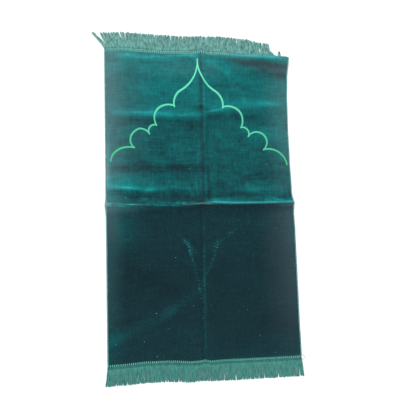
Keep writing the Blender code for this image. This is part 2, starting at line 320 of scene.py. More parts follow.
def tube_faces(count, steps, around, first=0):
    """Quads between neighbouring rings, and one face that closes each end, all facing out.

    The tubes' points are numbered from first on.
    """
    index = first + np.arange(count * steps * around).reshape(count, steps, around)
    after = np.roll(index, -1, axis=2)
    quads = np.stack([index[:, :-1], after[:, :-1], after[:, 1:], index[:, 1:]], axis=-1)
    ends = index[:, 0, ::-1].tolist() + index[:, -1].tolist()
    return quads.reshape(-1, 4).tolist() + ends


def tube_uv(lengths, count, steps, around):
    """UV of every corner: u goes from 0 to 1 round the yarn, v is the length in metres."""
    lengths = np.broadcast_to(lengths, (count, steps))
    round_share = np.arange(around + 1) / around
    u = np.broadcast_to(round_share, (count, steps, around + 1))
    v = np.broadcast_to(lengths[:, :, None], u.shape)
    uv = np.stack([u, v], axis=-1)
    corners = [uv[:, :-1, :-1], uv[:, :-1, 1:], uv[:, 1:, 1:], uv[:, 1:, :-1]]
    quads = np.stack(corners, axis=-2).reshape(-1, 2)
    ends = np.concatenate([uv[:, 0, :-1][:, ::-1].reshape(-1, 2), uv[:, -1, :-1].reshape(-1, 2)])
    return np.concatenate([quads, ends])


def path_lengths(paths):
    """Length from the start of each path to each of its steps."""
    steps = np.linalg.norm(np.diff(paths, axis=1), axis=-1)
    return np.concatenate([np.zeros((len(paths), 1)), np.cumsum(steps, axis=1)], axis=1)


Bundle = namedtuple("Bundle", "paths wide high around finish")


def add_yarns(name, *bundles):
    """One object of bundles of yarns with closed ends; each bundle has one finish."""
    points, faces, uvs, finish_numbers = [], [], [], []
    for number, bundle in enumerate(bundles):
        count, steps = bundle.paths.shape[:2]
        first = sum(len(earlier) for earlier in points)
        new_faces = tube_faces(count, steps, bundle.around, first)
        faces += new_faces
        finish_numbers += [number] * len(new_faces)
        rings = tubes(bundle.paths, bundle.wide, bundle.high, bundle.around)
        points.append(rings.reshape(-1, 3))
        uvs.append(tube_uv(path_lengths(bundle.paths), count, steps, bundle.around))
    piece = add_mesh(name, np.concatenate(points), faces, np.concatenate(uvs))
    for bundle in bundles:
        piece.data.materials.append(bundle.finish)
    piece.data.polygons.foreach_set("material_index", np.array(finish_numbers, np.int32))
    return piece


print("tube_faces for one three-step tube of four points:", len(tube_faces(1, 3, 4)), "faces")

# %% [markdown]
# ## Nodes
#
# Every finish is a short graph of nodes that reads the piece's own UV map, its attributes or
# its Object coordinates. A `Value` is what comes out of a node. Arithmetic on it adds the node
# that does it, so the recipes below read like formulas.

# %% Values that come out of nodes
class Value:
    """A number, vector or colour from a node's socket; + - * / and abs work on numbers."""

    def __init__(self, socket):
        self.socket = socket
        self.tree = socket.id_data

    def __add__(self, other):
        return calc("ADD", self, other)

    def __sub__(self, other):
        return calc("SUBTRACT", self, other)

    def __rsub__(self, other):
        return calc("SUBTRACT", other, self)

    def __mul__(self, other):
        return calc("MULTIPLY", self, other)

    def __truediv__(self, other):
        return calc("DIVIDE", self, other)

    def __abs__(self):
        return calc("ABSOLUTE", self)


def add_node(tree, kind, inputs=(), **settings):
    """A node of a kind; inputs is {socket: Value to join, or a fixed value}."""
    node = tree.nodes.new(kind)
    for setting, value in settings.items():
        setattr(node, setting, value)
    for socket, value in dict(inputs).items():
        if isinstance(value, Value):
            tree.links.new(value.socket, node.inputs[socket])
        else:
            node.inputs[socket].default_value = value
    return node


def calc(operation, first, second=0.0):
    """One step of arithmetic on one number or two, of which at least one is a Value."""
    tree = first.tree if isinstance(first, Value) else second.tree
    node = add_node(tree, "ShaderNodeMath", {0: first, 1: second}, operation=operation)
    return Value(node.outputs[0])


def vector_calc(operation, first, second=(0.0, 0.0, 0.0)):
    """One step of arithmetic on vectors, which gives a vector or a number."""
    node = add_node(first.tree, "ShaderNodeVectorMath", {0: first, 1: second}, operation=operation)
    is_number = operation in ("DISTANCE", "DOT_PRODUCT", "LENGTH")
    return Value(node.outputs["Value" if is_number else "Vector"])


def parts_of(vector):
    """The x, y and z of a vector."""
    node = add_node(vector.tree, "ShaderNodeSeparateXYZ", {0: vector})
    return [Value(output) for output in node.outputs]


def clamped(value, low=0.0, high=1.0):
    """A number held between two others."""
    return Value(add_node(value.tree, "ShaderNodeClamp", {0: value, 1: low, 2: high}).outputs[0])


def mapped(value, low, high, at_low, at_high, **settings):
    """A number carried over from one range to another, and held at the ends of that."""
    inputs = {"Value": value, 1: low, 2: high, 3: at_low, 4: at_high}
    return Value(add_node(value.tree, "ShaderNodeMapRange", inputs, **settings).outputs[0])


def noise(where, stretch, detail=2.0):
    """Noise from -0.5 to 0.5, with about this many lumps a metre in each direction."""
    at = vector_calc("MULTIPLY", where, stretch)
    inputs = {"Vector": at, "Scale": 1.0, "Detail": detail}
    return Value(add_node(where.tree, "ShaderNodeTexNoise", inputs).outputs["Fac"]) - 0.5


helpers = (calc, vector_calc, parts_of, clamped, mapped, noise)
print("helpers that give a Value:", ", ".join(helper.__name__ for helper in helpers))

# %% Colours and finishes
LIGHT_LEVEL = 1.35


def dye(red, green, blue):
    """Colour of a dye that shows as this screen colour, 0 to 255, under this scene's light.

    The screen's own curve (sRGB) is undone first. Some colours given this way carry painted light and
    shade.
    """
    share = np.array([red, green, blue]) / 255.0
    linear = np.where(share > 0.04045, ((share + 0.055) / 1.055) ** 2.4, share / 12.92)
    return (*(linear / LIGHT_LEVEL).tolist(), 1.0)


def blend(share, first, second):
    """Mix of two colours: the second one where share is 1."""
    inputs = {0: share, 6: first, 7: second}
    return Value(add_node(share.tree, "ShaderNodeMix", inputs, data_type="RGBA").outputs[2])


def ramp_of(share, stops):
    """Colour ramp through (place, colour) stops."""
    node = add_node(share.tree, "ShaderNodeValToRGB", {"Fac": share})
    elements = node.color_ramp.elements
    elements[0].position, elements[0].color = stops[0]
    elements[1].position, elements[1].color = stops[-1]
    for place, colour in stops[1:-1]:
        elements.new(place).color = colour
    return Value(node.outputs["Color"])


def new_finish(name, **fixed):
    """A material and its shader, whose fixed values are set on its sockets."""
    material = bpy.data.materials.new(name)
    material.use_nodes = True
    shader = material.node_tree.nodes["Principled BSDF"]
    for socket, value in fixed.items():
        shader.inputs[socket.replace("_", " ")].default_value = value
    return material, shader


def source(shader, kind, output, **settings):
    """What a node without inputs gives, such as a UV map, an attribute or the place."""
    return Value(add_node(shader.id_data, kind, **settings).outputs[output])


def set_surface(shader, colour, relief=None, strength=0.0, depth=0.0):
    """Join a colour to a shader, and a relief of some depth in metres if there is one."""
    shader.id_data.links.new(colour.socket, shader.inputs["Base Color"])
    if relief is not None:
        inputs = {"Height": relief, "Strength": strength, "Distance": depth}
        bump = add_node(shader.id_data, "ShaderNodeBump", inputs)
        shader.id_data.links.new(bump.outputs[0], shader.inputs["Normal"])


print("white paper needs a dye of", round(dye(255, 255, 255)[0], 3))

# %% [markdown]
# ## The velvet panel
#
# Velvet is a woven ground with a dense cut pile, here about 3 mm thick in all. It is made as
# one closed sheet: a grid of points for the pile side and one for the back, which meet in a
# rounded rim. The grid is graded, with lines 1.3 to 2 mm apart at the two creases and about
# 5 mm apart where the cloth lies flat, because only the creases bend sharply.

# %% Graded grid lines
RIM_TURNS = np.radians([0.0, 25.0, 50.0, 72.0, 90.0])
RULER_MARKS = 6001


def graded_lines(low, high, coarse, places):
    """Lines from low to high; near each (place, fine step, zone) the spacing eases to fine.

    The count of lines up to a place is the sum of 1 / spacing, and the lines are where that
    sum is a whole number.
    """
    ruler = np.linspace(low, high, RULER_MARKS)
    spacing = np.full(ruler.shape, coarse)
    for place, fine, zone in places:
        near = 1.0 - smooth(np.abs(ruler - place) / zone)
        spacing = np.minimum(spacing, coarse + (fine - coarse) * near)
    counted = np.concatenate([[0.0], np.cumsum(np.diff(ruler) / spacing[1:])])
    return np.interp(np.linspace(0.0, counted[-1], int(counted[-1]) + 1), counted, ruler)


def rimmed_lines(low, high, coarse, places, rim):
    """Graded lines between two rims, whose own lines are even steps of a quarter turn."""
    rim_steps = rim * (1.0 - np.cos(RIM_TURNS))
    inner = graded_lines(low + rim, high - rim, coarse, places)
    return np.concatenate([low + rim_steps[:-1], inner, (high - rim_steps[:-1])[::-1]])


SIDE_RIM = 0.0009
END_RIM = 0.0024
FLAT_SPACING_ACROSS, FLAT_SPACING_ALONG = 0.0056, 0.0045
FINE_ACROSS = ((0.004, 0.0020, 0.050), (-0.048, 0.0036, 0.030))
FINE_ALONG = (
    (MIDDLE, 0.0013, 0.036), (0.050, 0.0032, 0.060), (0.315, 0.0032, 0.050),
    (0.540, 0.0028, 0.040), (-0.540, 0.0034, 0.030), (-0.160, 0.0036, 0.050),
)
lines_across = rimmed_lines(-PANEL_EDGE, PANEL_EDGE, FLAT_SPACING_ACROSS, FINE_ACROSS, SIDE_RIM)
lines_along = rimmed_lines(BOTTOM_END, TOP_END, FLAT_SPACING_ALONG, FINE_ALONG, END_RIM)
print(len(lines_across), "lines across,", len(lines_along), "lines along")

# %% Soft random fields for what no two rugs share
CLOUD_CELLS = 128


def cloud(across, along, cell_across, cell_along, seed):
    """Field from -1 to 1: random numbers at the corners of cells, eased in between."""
    size = CLOUD_CELLS
    corners = np.random.default_rng(seed).uniform(-1.0, 1.0, (size, size))
    column, row = across / cell_across + size / 2, along / cell_along + size / 2
    left, low = np.floor(column).astype(int), np.floor(row).astype(int)
    right_share, up_share = smooth(column - left), smooth(row - low)
    lower, upper = (
        corners[line % size, left % size] * (1 - right_share)
        + corners[line % size, (left + 1) % size] * right_share for line in (low, low + 1))
    return lower + (upper - lower) * up_share


def clouds(layers, across, along):
    """Sum of clouds; each layer is (amount, cell across, cell along, seed)."""
    return sum(amount * cloud(across, along, *cell) for amount, *cell in layers)


def rim_share(distance, rim):
    """Quarter ellipse: the height over the rim, 0 at the edge and 1 at the rim's width."""
    return np.sqrt(1.0 - np.clip(1.0 - distance / rim, 0.0, 1.0) ** 2)


print(f"halfway over a rim the height is {rim_share(0.5, 1.0):.2f}")

# %% A closed sheet of two grids
def grid_quads(index):
    """Quads of a grid of point numbers, counterclockwise seen from above."""
    corners = [index[:-1, :-1], index[:-1, 1:], index[1:, 1:], index[1:, :-1]]
    return np.stack(corners, axis=-1).reshape(-1, 4)


def closed_sheet(top, under, places):
    """Points, quads and places of a sheet whose two grids of points share their border."""
    rows, columns = places.shape[:2]
    top_index = np.arange(rows * columns).reshape(rows, columns)
    inner_count = (rows - 2) * (columns - 2)
    under_index = top_index.copy()
    under_index[1:-1, 1:-1] = rows * columns + np.arange(inner_count).reshape(rows - 2, columns - 2)
    quads = np.concatenate([grid_quads(top_index), grid_quads(under_index)[:, ::-1]])
    points = np.concatenate([top.reshape(-1, 3), under[1:-1, 1:-1].reshape(-1, 3)])
    places = np.concatenate([places.reshape(-1, 2), places[1:-1, 1:-1].reshape(-1, 2)])
    return points, quads, places


print("quads in a grid of 3 by 4 points:", len(grid_quads(np.arange(12).reshape(3, 4))))

# %% The velvet's sheet
LUMP_LAYERS = ((0.00012, 0.011, 0.017, 5), (0.00020, 0.060, 0.022, 6))

grid_across, grid_along = np.meshgrid(lines_across, lines_along)
to_side = PANEL_EDGE - np.abs(grid_across)
to_end = np.minimum(TOP_END - grid_along, grid_along - BOTTOM_END)
full_share = rim_share(to_side, SIDE_RIM) * rim_share(to_end, END_RIM)
pile_lumps = clouds(LUMP_LAYERS, grid_across, grid_along)
middle_height = velvet_height(grid_across, grid_along) + VELVET_THICKNESS / 2.0
pile_height = middle_height + full_share * (VELVET_THICKNESS / 2.0 + pile_lumps)
back_height = middle_height - full_share * VELVET_THICKNESS / 2.0

velvet_points, velvet_quads, point_places = closed_sheet(
    lay(grid_across, grid_along, pile_height), lay(grid_across, grid_along, back_height),
    np.stack([grid_across, grid_along], axis=-1))
velvet = add_mesh(
    "velvet", velvet_points, velvet_quads.tolist(), point_places[velvet_quads].reshape(-1, 2), "cloth")

# %% [markdown]
# ## Painted light and shade on the pile
#
# Velvet looks bright or dark with the lean of its pile against the light: brushed one way it is
# bright, the other way nearly black. That light and shade is painted into the pile's colour here:
# the foot half is painted darker, each wave gets a painted lit side and a painted shaded side, and
# the creases' crushed pile is painted as thin bright lines, wear and painted highlight at once. A
# shader can't know which way a pile was brushed, so two numbers go on every point: one of painted
# light and shade, from dark to bright, with some random mottle, and one of painted sheen, the grey
# bloom of pile seen from its side. Both are sums of strokes that have the same form as the folds.

# %% Painted light and shade down the length of the rug: the arch half lighter, the foot half darker
PAINTED_LIGHT_ALONG = (
    (-0.550, -0.46), (-0.480, -0.50), (-0.400, -0.56), (-0.250, -0.57), (-0.130, -0.49),
    (-0.050, -0.48), (-0.016, -0.52), (-0.009, -0.46), (-0.004, -0.30), (0.004, -0.24),
    (0.024, -0.18), (0.050, -0.06), (0.090, -0.02), (0.130, -0.04), (0.190, 0.06),
    (0.250, 0.06), (0.290, 0.04), (0.330, 0.22), (0.380, 0.34), (0.440, 0.40),
    (0.500, 0.48), (0.549, 0.58),
)

Stroke = namedtuple("Stroke", "start end amount reach_low reach_high")
STROKE_SHARPNESS = 0.2


def summed_strokes(strokes, across, along):
    """Sum of the strokes: each is a ridge of little sharpness, its amount in place of a height."""
    return sum(ridge(Fold(*stroke, STROKE_SHARPNESS), across, along) for stroke in strokes)


# %% Broad strokes of painted light and shade on the arch half
ARCH_HALF_PAINTED_LIGHT = (
    # upper wave: lit above its crest, dark below it, and dark where it meets the long crease
    Stroke((-0.290, 0.318), (-0.010, 0.318), (0.34, 0.48, 0.18), 0.014, 0.048),
    Stroke((-0.262, 0.318), (-0.150, 0.318), (0.10, 0.20, 0.14), 0.016, 0.010),
    Stroke((-0.290, 0.290), (-0.150, 0.290), (-0.05, -0.18, -0.08), 0.026, 0.014),
    Stroke((-0.110, 0.294), (-0.016, 0.292), (-0.10, -0.26, -0.26), 0.040, 0.010),
    Stroke((-0.034, 0.342), (-0.004, 0.342), (-0.14, -0.36, -0.50), 0.014, 0.018),
    Stroke((0.085, 0.346), (0.290, 0.366), (0.26, 0.36, 0.24), 0.014, 0.046),
    Stroke((0.200, 0.372), (0.285, 0.362), (0.10, 0.36, 0.16), 0.014, 0.016),
    Stroke((0.040, 0.318), (0.300, 0.312), (-0.26, -0.32, -0.04), 0.030, 0.014),
    Stroke((0.190, 0.262), (0.320, 0.256), (0.24, 0.36, 0.28), 0.050, 0.036),
    # lower wave
    Stroke((-0.335, 0.056), (-0.190, 0.049), (0.46, 0.66, 0.42), 0.009, 0.056),
    Stroke((-0.170, 0.050), (-0.020, 0.052), (0.20, 0.18, 0.00), 0.008, 0.045),
    Stroke((-0.335, 0.030), (-0.015, 0.026), (-0.04, -0.14, -0.16), 0.020, 0.014),
    Stroke((0.125, 0.050), (0.285, 0.052), (0.08, 0.36, 0.14), 0.014, 0.034),
    Stroke((0.165, 0.048), (0.240, 0.048), (0.10, 0.24, 0.14), 0.009, 0.011),
    Stroke((0.130, 0.040), (0.270, 0.037), (0.08, 0.22, 0.10), 0.010, 0.010),
    Stroke((0.020, 0.090), (0.058, 0.078), (0.04, 0.16, 0.04), 0.016, 0.022),
    # the sides: painted sheen, lighter where the pile stands up
    Stroke((-0.345, 0.330), (-0.345, 0.000), (0.20, 0.40, 0.44), 0.020, 0.150),
    Stroke((-0.345, 0.290), (-0.345, 0.100), (0.20, 0.66, 0.70), 0.020, 0.030),
    Stroke((-0.345, 0.150), (-0.345, 0.010), (0.30, 0.34, 0.20), 0.020, 0.026),
    Stroke((0.345, 0.300), (0.345, 0.090), (0.12, 0.22, 0.08), 0.090, 0.020),
    # the long crease: a band of painted shade that narrows towards the middle of the rug
    Stroke((0.0065, 0.552), (0.0050, 0.290), (-0.46, -0.48, -0.30), 0.0110, 0.0105),
    Stroke((0.0060, 0.300), (0.0030, 0.010), (-0.10, -0.32, -0.30), 0.0080, 0.0060),
    Stroke((0.0200, 0.520), (0.0500, 0.520), (0.24, 0.26, 0.14), 0.0100, 0.0120),
    Stroke((0.0240, 0.270), (0.0240, 0.030), (-0.04, -0.06, -0.36), 0.0080, 0.0120),
    Stroke((0.0620, 0.165), (0.0620, 0.085), (-0.10, -0.26, -0.20), 0.0340, 0.0450),
    Stroke((0.050, 0.430), (0.300, 0.430), (-0.08, -0.14, -0.08), 0.080, 0.070),
    Stroke((-0.012, 0.440), (-0.012, 0.350), (0.08, 0.12, 0.00), 0.030, 0.012),
    Stroke((-0.009, 0.212), (-0.011, 0.152), (0.10, 0.26, 0.12), 0.007, 0.006),
    # the arch end: a painted highlight along the edge at the right, over a wedge of painted shade that
    # widens to the side
    Stroke((0.085, 0.547), (0.275, 0.5450), (0.34, 0.92, 0.72), 0.011, 0.012),
    Stroke((0.290, 0.5450), (0.335, 0.5450), (0.20, 0.14, 0.10), 0.009, 0.012),
    Stroke((0.115, 0.524), (0.345, 0.506), (-0.44, -0.94, -0.84), 0.022, 0.024),
    Stroke((-0.270, 0.525), (-0.090, 0.525), (0.16, 0.24, 0.22), 0.012, 0.010),
    Stroke((0.170, 0.502), (0.345, 0.476), (-0.14, -0.58, -0.72), 0.034, 0.026),
    Stroke((0.060, 0.508), (0.138, 0.462), (0.20, 0.28, 0.12), 0.014, 0.014),
    # short dark and faint bands
    Stroke((-0.332, 0.511), (-0.282, 0.510), (-0.20, -0.30, -0.12), 0.009, 0.010),
    Stroke((-0.288, 0.457), (-0.232, 0.459), (-0.14, -0.24, -0.10), 0.008, 0.009),
    Stroke((-0.174, 0.456), (-0.120, 0.459), (-0.12, -0.20, -0.10), 0.007, 0.008),
    Stroke((-0.324, 0.439), (-0.268, 0.437), (-0.18, -0.26, -0.10), 0.009, 0.009),
    Stroke((-0.152, 0.398), (-0.103, 0.400), (-0.10, -0.18, -0.10), 0.008, 0.009),
    Stroke((0.068, 0.430), (0.218, 0.431), (-0.20, -0.16, -0.05), 0.009, 0.010),
    Stroke((0.106, 0.393), (0.162, 0.394), (-0.10, -0.16, -0.10), 0.008, 0.008),
    Stroke((-0.332, 0.220), (-0.238, 0.218), (-0.24, -0.30, -0.06), 0.013, 0.015),
    Stroke((-0.112, 0.262), (-0.036, 0.263), (-0.10, -0.24, -0.16), 0.010, 0.011),
    Stroke((-0.330, 0.122), (-0.010, 0.126), (-0.34, -0.34, -0.28), 0.026, 0.022),
    Stroke((0.160, 0.096), (0.292, 0.095), (-0.08, -0.24, -0.12), 0.026, 0.024),
)
print(len(ARCH_HALF_PAINTED_LIGHT), "broad strokes on the arch half")

# %% Broad strokes of painted light and shade on the foot half
FOOT_HALF_PAINTED_LIGHT = (
    Stroke((-0.310, -0.030), (-0.290, -0.130), (0.22, 0.32, 0.22), 0.040, 0.110),
    Stroke((-0.340, -0.004), (-0.340, -0.540), (0.10, 0.26, 0.22), 0.020, 0.080),
    Stroke((-0.340, -0.012), (-0.130, -0.012), (0.10, 0.26, 0.16), 0.018, 0.010),
    Stroke((-0.018, -0.305), (-0.130, -0.384), (0.12, 0.13, 0.16), 0.026, 0.020),
    Stroke((-0.130, -0.384), (-0.320, -0.470), (0.16, 0.15, 0.24), 0.034, 0.030),
    Stroke((-0.270, -0.240), (-0.110, -0.300), (-0.10, -0.12, -0.08), 0.060, 0.060),
    Stroke((0.060, -0.480), (0.330, -0.400), (-0.08, -0.10, -0.06), 0.070, 0.070),
    Stroke((0.330, -0.020), (0.330, -0.400), (0.20, 0.14, 0.06), 0.060, 0.020),
    Stroke((-0.007, -0.020), (-0.014, -0.540), (-0.10, -0.16, -0.14), 0.006, 0.005),
    # the right half of the middle crease: a painted highlight on one edge, the painted lit wedge over
    # it, a gap of painted shade
    Stroke((-0.022, 0.0046), (0.000, 0.0042), (-0.20, -0.44, -0.56), 0.0044, 0.0070),
    Stroke((0.028, 0.0034), (0.345, 0.0004), (1.20, 1.20, 0.95), 0.0042, 0.0056),
    Stroke((0.050, 0.0090), (0.190, 0.0095), (0.60, 0.50, 0.36), 0.0060, 0.0120),
    Stroke((0.230, 0.0085), (0.330, 0.0060), (0.30, 0.44, 0.42), 0.0060, 0.0120),
    Stroke((0.184, 0.0105), (0.220, 0.0102), (-0.20, -0.24, -0.16), 0.005, 0.005),
    Stroke((0.016, -0.0085), (0.330, -0.0080), (-0.12, -0.12, 0.00), 0.0050, 0.0040),
)
print(len(FOOT_HALF_PAINTED_LIGHT), "broad strokes on the foot half and the middle crease")

# %% Lines of crushed pile, which are patchy: wear on the crests and creases, painted as lines of highlight
CRUSHED_PILE_HIGHLIGHTS = (
    # crest of the upper wave
    Stroke((-0.275, 0.321), (-0.140, 0.324), (0.14, 0.40, 0.32), 0.006, 0.010),
    Stroke((-0.105, 0.315), (-0.006, 0.316), (0.30, 0.44, 0.46), 0.005, 0.010),
    Stroke((0.024, 0.330), (0.085, 0.342), (0.62, 0.48, 0.26), 0.004, 0.008),
    # crest of the lower wave
    Stroke((-0.330, 0.059), (-0.220, 0.049), (0.10, 0.46, 0.36), 0.0035, 0.008),
    Stroke((-0.178, 0.047), (-0.104, 0.059), (0.30, 0.34, 0.15), 0.0035, 0.008),
    Stroke((-0.080, 0.056), (-0.064, 0.055), (0.30, 0.34, 0.24), 0.006, 0.006),
    Stroke((-0.046, 0.051), (-0.042, 0.044), (0.24, 0.28, 0.20), 0.005, 0.005),
    Stroke((-0.0205, 0.061), (-0.0195, 0.051), (0.40, 0.50, 0.40), 0.004, 0.004),
    # the arch end
    Stroke((-0.268, 0.5330), (-0.236, 0.5340), (0.55, 0.70, 0.50), 0.009, 0.009),
    Stroke((-0.208, 0.5288), (-0.140, 0.5345), (0.22, 0.34, 0.26), 0.007, 0.009),
    Stroke((-0.140, 0.5345), (-0.064, 0.5404), (0.30, 0.40, 0.30), 0.007, 0.009),
    Stroke((-0.055, 0.5380), (0.000, 0.5400), (0.28, 0.34, 0.34), 0.010, 0.010),
    # right edge of the long crease
    Stroke((0.0165, 0.500), (0.0130, 0.250), (0.16, 0.40, 0.50), 0.0036, 0.0042),
    Stroke((0.0130, 0.240), (0.0120, 0.060), (0.06, -0.04, 0.20), 0.0030, 0.0036),
    # the middle crease, left half: short thin lines one past the other
    Stroke((-0.340, 0.0028), (-0.280, 0.0022), (1.20, 1.10, 0.45), 0.0028, 0.0030),
    Stroke((-0.340, -0.0036), (-0.308, -0.0052), (0.60, 0.60, 0.40), 0.0026, 0.0026),
    Stroke((-0.308, -0.0050), (-0.230, -0.0075), (0.50, 0.56, 0.40), 0.0040, 0.0035),
    Stroke((-0.265, -0.0004), (-0.205, 0.0000), (0.75, 0.90, 0.40), 0.0026, 0.0026),
    Stroke((-0.197, 0.0066), (-0.155, 0.0068), (0.40, 0.50, 0.30), 0.0040, 0.0070),
    Stroke((-0.196, 0.0180), (-0.185, 0.0185), (0.40, 0.45, 0.30), 0.0070, 0.0070),
    Stroke((-0.176, -0.0036), (-0.150, -0.0032), (0.22, 0.34, 0.26), 0.0036, 0.0036),
    Stroke((-0.145, -0.0004), (-0.105, -0.0016), (0.56, 0.66, 0.42), 0.0028, 0.0028),
    Stroke((-0.088, -0.0045), (-0.064, -0.0055), (0.24, 0.26, 0.03), 0.0024, 0.0026),
    Stroke((-0.104, 0.0068), (-0.048, 0.0060), (0.40, 0.80, 0.55), 0.0044, 0.0048),
    Stroke((-0.040, 0.0006), (0.012, -0.0022), (0.50, 0.72, 0.80), 0.0020, 0.0024),
    # a thin arc over the right half of the middle crease
    Stroke((0.034, 0.0140), (0.118, 0.0205), (0.32, 0.30, 0.26), 0.0030, 0.0032),
    Stroke((0.186, 0.0210), (0.245, 0.0222), (0.10, 0.38, 0.36), 0.0036, 0.0036),
    Stroke((0.245, 0.0222), (0.300, 0.0090), (0.36, 0.36, 0.20), 0.0032, 0.0036),
    Stroke((0.224, 0.0150), (0.236, 0.0110), (0.40, 0.48, 0.40), 0.0060, 0.0060),
    Stroke((0.262, 0.0125), (0.288, 0.0085), (0.30, 0.42, 0.30), 0.0050, 0.0050),
    # the long crease on the foot half
    Stroke((0.001, -0.185), (-0.004, -0.510), (0.22, 0.22, 0.16), 0.004, 0.007),
    Stroke((0.002, -0.020), (0.001, -0.185), (0.08, 0.10, 0.22), 0.004, 0.005),
    # two blots where a fold met the long crease in a V
    Stroke((-0.0525, -0.149), (-0.0485, -0.154), (0.36, 0.40, 0.36), 0.006, 0.006),
    Stroke((-0.0510, -0.166), (-0.0460, -0.184), (0.30, 0.44, 0.20), 0.006, 0.006),
    # over the heading of the foot end
    Stroke((0.120, -0.5480), (0.335, -0.5450), (0.14, 0.20, 0.22), 0.006, 0.012),
)
print(len(CRUSHED_PILE_HIGHLIGHTS), "lines of crushed pile")

# %% Strokes of specks: the marks of the fold that met the long crease in a V
SPECK_STROKES = (
    Stroke((-0.114, -0.081), (-0.060, -0.140), (0.20, 0.40, 0.60), 0.009, 0.009),
    Stroke((-0.0525, -0.149), (-0.0485, -0.154), (0.60, 0.60, 0.60), 0.008, 0.008),
    Stroke((-0.0510, -0.166), (-0.0460, -0.184), (0.60, 0.90, 0.50), 0.009, 0.009),
    Stroke((-0.044, -0.190), (-0.030, -0.250), (0.40, 0.50, 0.40), 0.008, 0.008),
    Stroke((-0.025, -0.262), (-0.018, -0.302), (0.30, 0.50, 0.80), 0.008, 0.008),
    Stroke((0.104, -0.104), (0.050, -0.145), (0.70, 0.50, 0.60), 0.010, 0.008),
    Stroke((0.046, -0.150), (0.034, -0.200), (0.50, 0.40, 0.50), 0.009, 0.009),
    Stroke((0.026, -0.212), (0.006, -0.252), (0.60, 1.00, 0.60), 0.007, 0.007),
    Stroke((-0.006, -0.200), (-0.012, -0.510), (0.50, 0.50, 0.30), 0.010, 0.008),
)
print(len(SPECK_STROKES), "strokes of specks")

# %% Strokes of painted sheen: the grey bloom of pile seen from its side
PAINTED_SHEEN_STROKES = (
    # along the sides
    Stroke((-0.345, 0.580), (-0.345, 0.020), (0.15, 0.14, 0.12), 0.020, 0.100),
    Stroke((-0.345, 0.580), (-0.345, 0.110), (0.12, 0.12, 0.08), 0.020, 0.200),
    Stroke((-0.345, 0.290), (-0.345, 0.030), (0.04, 0.12, 0.10), 0.020, 0.024),
    Stroke((-0.345, -0.016), (-0.200, -0.016), (0.08, 0.07, 0.01), 0.030, 0.010),
    Stroke((0.345, 0.600), (0.345, 0.060), (0.12, 0.14, 0.07), 0.125, 0.020),
    Stroke((-0.345, -0.016), (-0.345, -0.400), (0.16, 0.05, 0.03), 0.020, 0.080),
    Stroke((0.345, -0.040), (0.345, -0.560), (0.11, 0.08, 0.02), 0.160, 0.020),
    # the arch end and its dark wedge
    Stroke((-0.300, 0.548), (0.230, 0.552), (0.06, 0.09, 0.09), 0.040, 0.020),
    Stroke((-0.200, 0.500), (0.050, 0.500), (0.03, 0.06, 0.05), 0.070, 0.040),
    Stroke((0.150, 0.520), (0.335, 0.496), (0.06, 0.08, 0.05), 0.040, 0.030),
    # the creases
    Stroke((0.0065, 0.552), (0.0010, 0.010), (0.03, 0.02, 0.02), 0.008, 0.008),
    Stroke((-0.340, -0.0036), (-0.308, -0.0052), (0.16, 0.20, 0.14), 0.003, 0.003),
    Stroke((-0.265, -0.0004), (-0.215, 0.0000), (0.12, 0.26, 0.10), 0.003, 0.003),
    Stroke((-0.050, 0.0002), (0.012, -0.0022), (0.12, 0.14, 0.14), 0.003, 0.003),
    Stroke((0.028, 0.0024), (0.345, 0.0000), (0.10, 0.12, 0.08), 0.003, 0.003),
    Stroke((0.250, -0.0080), (0.345, -0.0090), (0.02, 0.08, 0.14), 0.010, 0.008),
    # the left side beside the lower wave
    Stroke((-0.345, 0.160), (-0.345, 0.060), (0.10, 0.16, 0.10), 0.010, 0.030),
)
print(len(PAINTED_SHEEN_STROKES), "strokes of haze")

# %% Add the strokes up and put them on the points
PATCH_LAYERS = ((0.60, 0.013, 0.008, 14), (0.35, 0.045, 0.030, 15))
PATCH_LEVEL, PATCH_LIMITS = 0.85, (0.1, 1.5)
MOTTLE_LAYERS = ((0.09, 0.075, 0.034, 11), (0.09, 0.034, 0.016, 12), (0.10, 0.017, 0.012, 13))
MOTTLE_ALONG = ((-0.012, 0.30), (0.008, 1.00))

spots = point_places.T
patches = np.clip(PATCH_LEVEL + clouds(PATCH_LAYERS, *spots), *PATCH_LIMITS)
# painted light and shade, the crushed pile's painted highlight and random mottle, added up
shade = eased(PAINTED_LIGHT_ALONG, spots[1])
shade = shade + summed_strokes(ARCH_HALF_PAINTED_LIGHT + FOOT_HALF_PAINTED_LIGHT, *spots)
shade = shade + summed_strokes(CRUSHED_PILE_HIGHLIGHTS, *spots) * patches
shade = shade + clouds(MOTTLE_LAYERS, *spots) * eased(MOTTLE_ALONG, spots[1])
haze = np.clip(summed_strokes(PAINTED_SHEEN_STROKES, *spots), 0.0, 1.0)
specks = np.clip(summed_strokes(SPECK_STROKES, *spots), 0.0, 1.0)


def add_numbers(piece, name, values):
    """One number on each point of a piece, for its material to read."""
    attribute = piece.data.attributes.new(name, "FLOAT", "POINT")
    attribute.data.foreach_set("value", values.astype(np.float32))


add_numbers(velvet, "shade", shade)
add_numbers(velvet, "haze", haze)
add_numbers(velvet, "specks", specks)
print(f"shade runs from {shade.min():.2f} to {shade.max():.2f}")

# %% [markdown]
# ## The arch
#
# The arch is the only pattern: a pale green line woven into the pile, of one ogee and foils
# down to each side, the plain outline of a prayer niche. It is built as a mason sets out an arch,
# from arcs: each row gives where an arc ends and how far it bows out of its chord. The nodes
# measure the distance to the nearest arc, on one side only, because the other side mirrors it.

